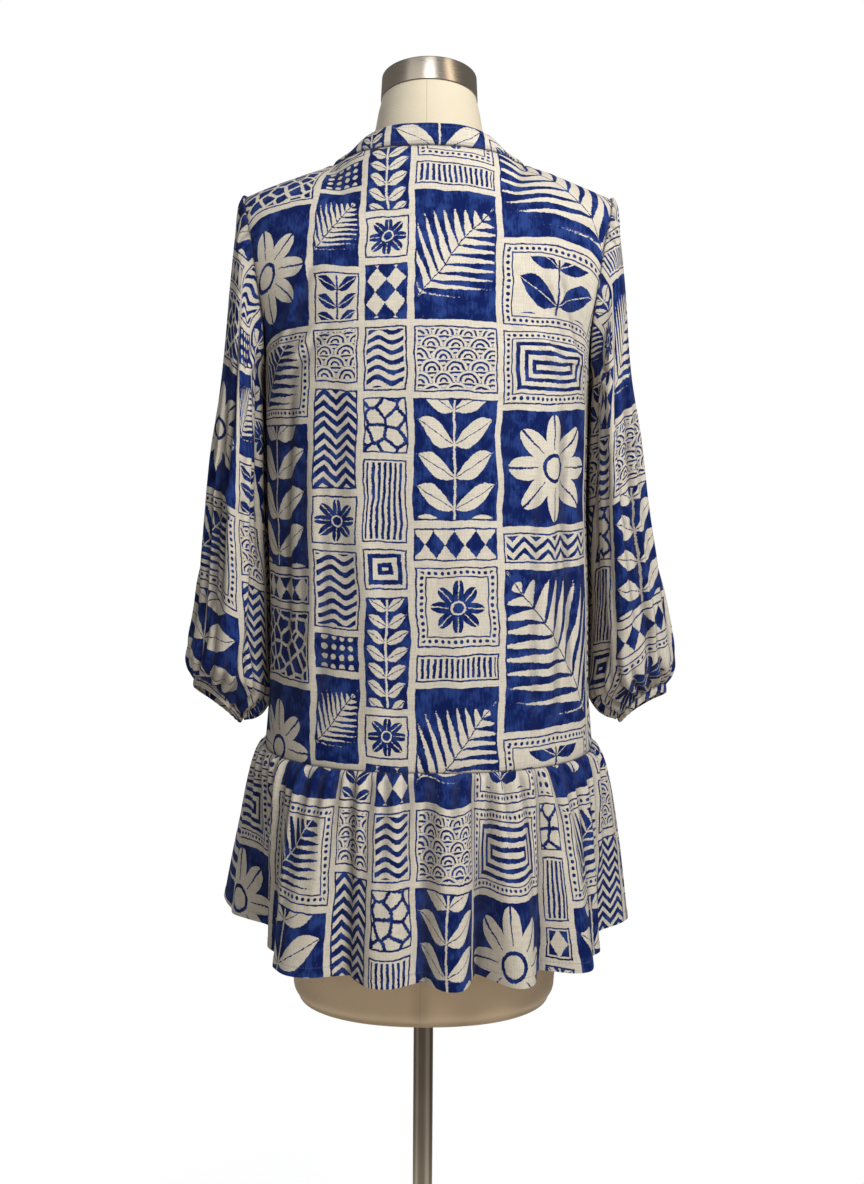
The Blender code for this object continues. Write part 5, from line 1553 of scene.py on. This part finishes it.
def make_sleeve(keep, bodice, side, table, creases, lines, mirror, shift):
    """One sleeve, drawn in onto its cuff, and the cuff."""
    end = named(WRISTS[side], WRIST_COLUMNS)
    moved = tuple(place + row[2:] for place, row in zip(end["inner"], table[-3:-1]))
    table = table[:-3] + moved + table[-1:]
    order = -int(mirror)
    turns = np.array(sleeve_turns())[::order]
    grid = finer(sleeve_grid(bodice, table, creases, mirror)[:, ::order], SLEEVE_FINER, closed=True)
    around = tube_turns(turns, SLEEVE_FINER[1])
    places = flat_places(grid, int(np.argmin(np.abs(around))), closed=True)
    up = places[:, :-1, 1]
    around = np.broadcast_to(around, up.shape)
    inwards = grid[0].mean(axis=0) - grid[0]
    inwards /= np.linalg.norm(inwards, axis=1, keepdims=True)
    pull = END_PULL * (1 - ease(0.0, PULL_LENGTH, up))
    move = sleeve_move(around, up, lines)
    grid = swayed(grid + grid_normals(grid, True) * move[..., None] + inwards * pull[..., None])
    grid[..., 2] += wrist_lift(end, around, SLEEVE_LIFT) * (1 - ease(0.0, LIFT_LENGTH, up))
    down = up[-1:] - up
    thickness = SHELL + edge_roll(down, EDGE_THINNER, SLEEVE_ROUND)
    normal = grid_normals(grid, True)
    keep("sleeve_cover_" + side, "sleeve_" + side, "sleeve_" + side, "gathered", grid, normal, places,
         np.minimum(up, down), shift, thickness=thickness, closed=True)

    grid = finer(cuff_grid(table, mirror)[:, ::order], CUFF_FINER, closed=True)
    normal = grid_normals(grid, True)
    places = flat_places(grid, 0, closed=True)
    up = places[:, :-1, 1]
    around = tube_turns(turns, CUFF_FINER[1])
    crown = CUFF_CROWN * np.cos((up - CUFF_MIDDLE) / CUFF_HEIGHT * math.pi)
    move = CUFF_RIDGE * waves(around, CUFF_WAVES) + crown - WRIST_PULL
    grid = swayed(grid + normal * move[..., None])
    grid[..., 2] += wrist_lift(end, around[None], ease(0.0, CUFF_HEIGHT, up))
    keep("cuff_cover_" + side, "cuff_" + side, "cuff_" + side, "gathered", grid, normal, places, up[-1:] - up,
         (shift[0], shift[1] - CUFF_SHIFT), thickness=CUFF_THICK, stitches=CUFF_STITCHES, doubled=True,
         closed=True)


def fold_reach(folds, turns):
    """The hem's reach at degrees round, round over each fold and narrow in the hollow between."""
    places = column(folds, FOLD_COLUMNS, "turn")
    order = np.argsort(places)
    places = places[order]
    reach = column(folds, FOLD_COLUMNS, "reach")[order]
    index = np.clip(np.searchsorted(places, turns) - 1, 0, len(places) - 2)
    share = (turns - places[index]) / (places[index + 1] - places[index])
    first, last = reach[index], reach[index + 1]
    climb = (1 - np.cos(math.pi * np.where(last > first, share, 1 - share))) / 2
    low, high = np.minimum(first, last), np.maximum(first, last)
    return low + (high - low) * climb ** FOLD_ROUND


def flounce_grid(folds, gathers, turns, shares):
    """Middle points of half the flounce: its seam's oval opens into the folds at its hem, and the listed
    gathers swell and run out below the seam."""
    angle = np.radians(turns)
    end = named(BODY[0], BODY_COLUMNS)
    ovals = np.array([oval(value, BODY_SQUARE) for value in angle])
    depth = np.where(np.cos(angle) >= 0, end["back"], end["front"])
    seam = np.stack([end["side"] * ovals[:, 0], depth * ovals[:, 1]], axis=1)
    out = np.stack([np.sin(angle), np.cos(angle)], axis=1)
    hem = out * (FLOUNCE_SIDE, FLOUNCE_BACK)
    reach = fold_reach(folds, turns)[:, None]
    # The sides of the hem rise a little, the wearer's left more than the right
    rise = np.where(out[:, :1] > 0, *HEM_RISES)
    rise = rise * bell(np.abs(np.degrees(np.arcsin(out[:, :1]))), HEM_RISE_TURN, HEM_RISE_WIDTH)
    grid = []
    for down in shares:
        length = (SEAM_Z - HEM_Z) * down
        lift = -FLOUNCE_SINK * math.exp(-length / FLOUNCE_SINK_FADE) + np.zeros(len(turns))
        for row in gathers:
            pleat = named(row, GATHER)
            fade = math.exp(-length / (pleat["fade"] * MM * GATHER_GROWTH))
            near = bell(turns, pleat["turn"], pleat["width"])
            lift += pleat["height"] * MM * GATHER_GROWTH * fade * near
        lift *= 1.0 - math.exp(-length / GATHER_SWELL)
        flat = seam + (hem - seam) * down ** FLARE + hem * (reach - 1.0) * down ** FOLD_GROWTH
        flat = flat + out * (lift + edge_roll(length, SEAM_ROLL, ROLL_REACH))[:, None]
        grid.append(np.concatenate([flat, SEAM_Z - length + rise * down], axis=1))
    return np.array(grid)


def make_flounce(keep):
    """Both halves of the flounce, with a folded hem."""
    rows, columns = FLOUNCE_FINE
    shares = (np.arange(rows, -1, -1) / rows) ** FLOUNCE_CROWDING
    back_folds = [SIDE_FOLDS.get(fold[0], fold) for fold in BACK_FOLDS]
    grids = []
    for folds, gathers, start in ((back_folds, BACK_GATHERS, 90.0), (FRONT_FOLDS, FRONT_GATHERS, 270.0)):
        turns = start - 180.0 * np.arange(columns + 1) / columns
        grids.append(swayed(flounce_grid(folds, gathers, turns, shares)))
    for (side, shift), grid, normal in zip(FLOUNCE_LOOKS, grids, shared_normals(grids)):
        # The cloth is as wide all the way up as along its hem, where it isn't gathered
        across = flat_places(grid[:1], columns // 2)[0, :, 0]
        up = flat_places(grid, 0)[..., 1]
        places = np.stack([np.broadcast_to(across, up.shape), up], axis=2)
        thickness = SHELL + HEM_FOLD * (1 - ease(HEM_TURN - HEM_EDGE, HEM_TURN + HEM_EDGE, up))
        keep("flounce_cover_" + side, "flounce_" + side, "flounce_" + side, "gathered", grid, normal, places,
             up[-1:] - up, shift, thickness=thickness, stitches=HEM_STITCHES)


def make_dress(tree):
    """All cloth pieces, each with its node, flat size, area and how it is held."""
    made = []
    keep = partial(sew, make_print(), made)
    grids = [whole_panel(1.0), whole_panel(-1.0)]
    band = band_grid(grids)
    band = np.concatenate([band, band[:, :1]], axis=1)
    rest_on(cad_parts["form_torso"], grids + [band], BAND / 2 + FORM_CLEAR)
    bodice = list(zip(grids, shared_normals(grids)))
    make_panels(keep, tree, grids)
    make_band(keep, swayed(band[:, :-1]))
    for values in SLEEVES:
        make_sleeve(keep, bodice, *values)
    make_flounce(keep)
    return made


# The stage


def make_floor(scene):
    """A plain pale floor that fades out at a distance."""
    mesh = bpy.data.meshes.new("floor")
    corners = [(x * FLOOR_HALF, y * FLOOR_HALF, 0) for x, y in ((-1, -1), (1, -1), (1, 1), (-1, 1))]
    mesh.from_pydata(corners, [], [(0, 1, 2, 3)])
    floor = bpy.data.objects.new("floor", mesh)
    floor.location = (0.0, 0.0, -FLOOR_DROP)
    scene.collection.objects.link(floor)
    material, nodes, shader = new_material("floor")
    values = {"Base Color": (0.86, 0.86, 0.86, 1.0), "Roughness": 0.7, "Specular IOR Level": 0.1,
              "Emission Color": (1.0, 1.0, 1.0, 1.0), "Emission Strength": 0.50}
    for name, value in values.items():
        nodes.wire(value, shader.inputs[name])
    x, y, _ = nodes.parts("XYZ", nodes.add("TexCoord").outputs["Object"])
    clear = (x * x + y * y).root().step(*FLOOR_FADE)
    glass = nodes.add("BsdfTransparent")
    blend = nodes.add("MixShader", {0: clear, 1: shader.outputs[0], 2: glass.outputs[0]})
    nodes.wire(blend.outputs[0], nodes.tree.nodes["Material Output"].inputs["Surface"])
    mesh.materials.append(material)


def make_world(scene):
    """Even pale light, plain white to the camera and warmer and darker in reflections."""
    world = bpy.data.worlds.new("studio")
    scene.world = world
    world.use_nodes = True
    nodes = Nodes(world.node_tree)
    rays = nodes.add("LightPath")
    seen = Field(nodes, rays.outputs["Is Camera Ray"])
    mirrored = Field(nodes, rays.outputs["Is Glossy Ray"])
    backdrop = world.node_tree.nodes["Background"]
    nodes.wire(nodes.blend(mirrored, WORLD_COLOUR, WORLD_MIRRORED), backdrop.inputs["Color"])
    nodes.wire(seen.mix(mirrored.mix(*WORLD_POWERS), 1.0), backdrop.inputs["Strength"])


def make_lamp(scene, data, place, aim, power, colour, seen):
    """A lamp that points at a place, and is seen in diffuse light, in reflections or in both."""
    data.energy = power
    data.color = colour
    lamp = bpy.data.objects.new(data.name, data)
    lamp.location = place
    lamp.rotation_euler = (Vector(aim) - Vector(place)).to_track_quat("-Z", "Y").to_euler()
    lamp.visible_glossy = seen != "diffuse"
    lamp.visible_diffuse = seen != "glossy"
    scene.collection.objects.link(lamp)
    return lamp


def make_stage():
    """The floor, soft studio light and the camera."""
    scene = bpy.context.scene
    make_floor(scene)
    make_world(scene)
    for name, place, aim, wide, tall, power, colour, seen in LIGHTS:
        data = bpy.data.lights.new(name, "AREA")
        data.shape = "RECTANGLE"
        data.size = wide
        data.size_y = tall
        make_lamp(scene, data, place, aim, power, colour, seen)
    data = bpy.data.lights.new("middle", "SPOT")
    data.spot_size = math.radians(SPOT_WIDTH)
    data.spot_blend = 1.0
    data.shadow_soft_size = SPOT_RADIUS
    lamp = make_lamp(scene, data, *SPOT)
    lamp.scale = (SPOT_SQUEEZE, 1.0, 1.0)
    scene.view_settings.view_transform = "Standard"

    data = bpy.data.cameras.new("camera")
    data.lens = CAMERA_LENS
    data.sensor_width = CAMERA_SENSOR
    data.shift_x, data.shift_y = CAMERA_SHIFT
    camera = bpy.data.objects.new("camera", data)
    camera.location = CAMERA_PLACE
    look = Vector((math.sin(math.radians(CAMERA_PAN)), -1.0, -math.tan(math.radians(CAMERA_TILT))))
    turn = look.to_track_quat("-Z", "Y").to_matrix().to_4x4()
    spin = turn @ Matrix.Rotation(math.radians(CAMERA_ROLL), 4, Vector((0.0, 0.0, 1.0)))
    camera.rotation_euler = spin.to_euler()
    scene.collection.objects.link(camera)
    scene.camera = camera


def main():
    torso = make_form()
    bpy.context.view_layer.update()
    tree = BVHTree.FromObject(torso, bpy.context.evaluated_depsgraph_get())
    dress = make_dress(tree)
    cap, pole, base = (steel_material(*values) for values in STEELS)
    stand = (
        (torso, "form_torso", "form_cover"),
        (make_cap(cap), "neck_cap", "cap_steel"),
        (make_round("pole_cover", POLE_PROFILE, pole, 64), "pole", "pole_steel"),
        (make_round("base_cover", BASE_PROFILE, base, 160), "base_plate", "base_paint"),
    )
    for piece, node, slot in stand:
        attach(piece, "root")
        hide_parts(node)
    for piece, node, flat, area, held in dress:
        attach(piece, "root")
        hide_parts(node)
    make_stage()


main()
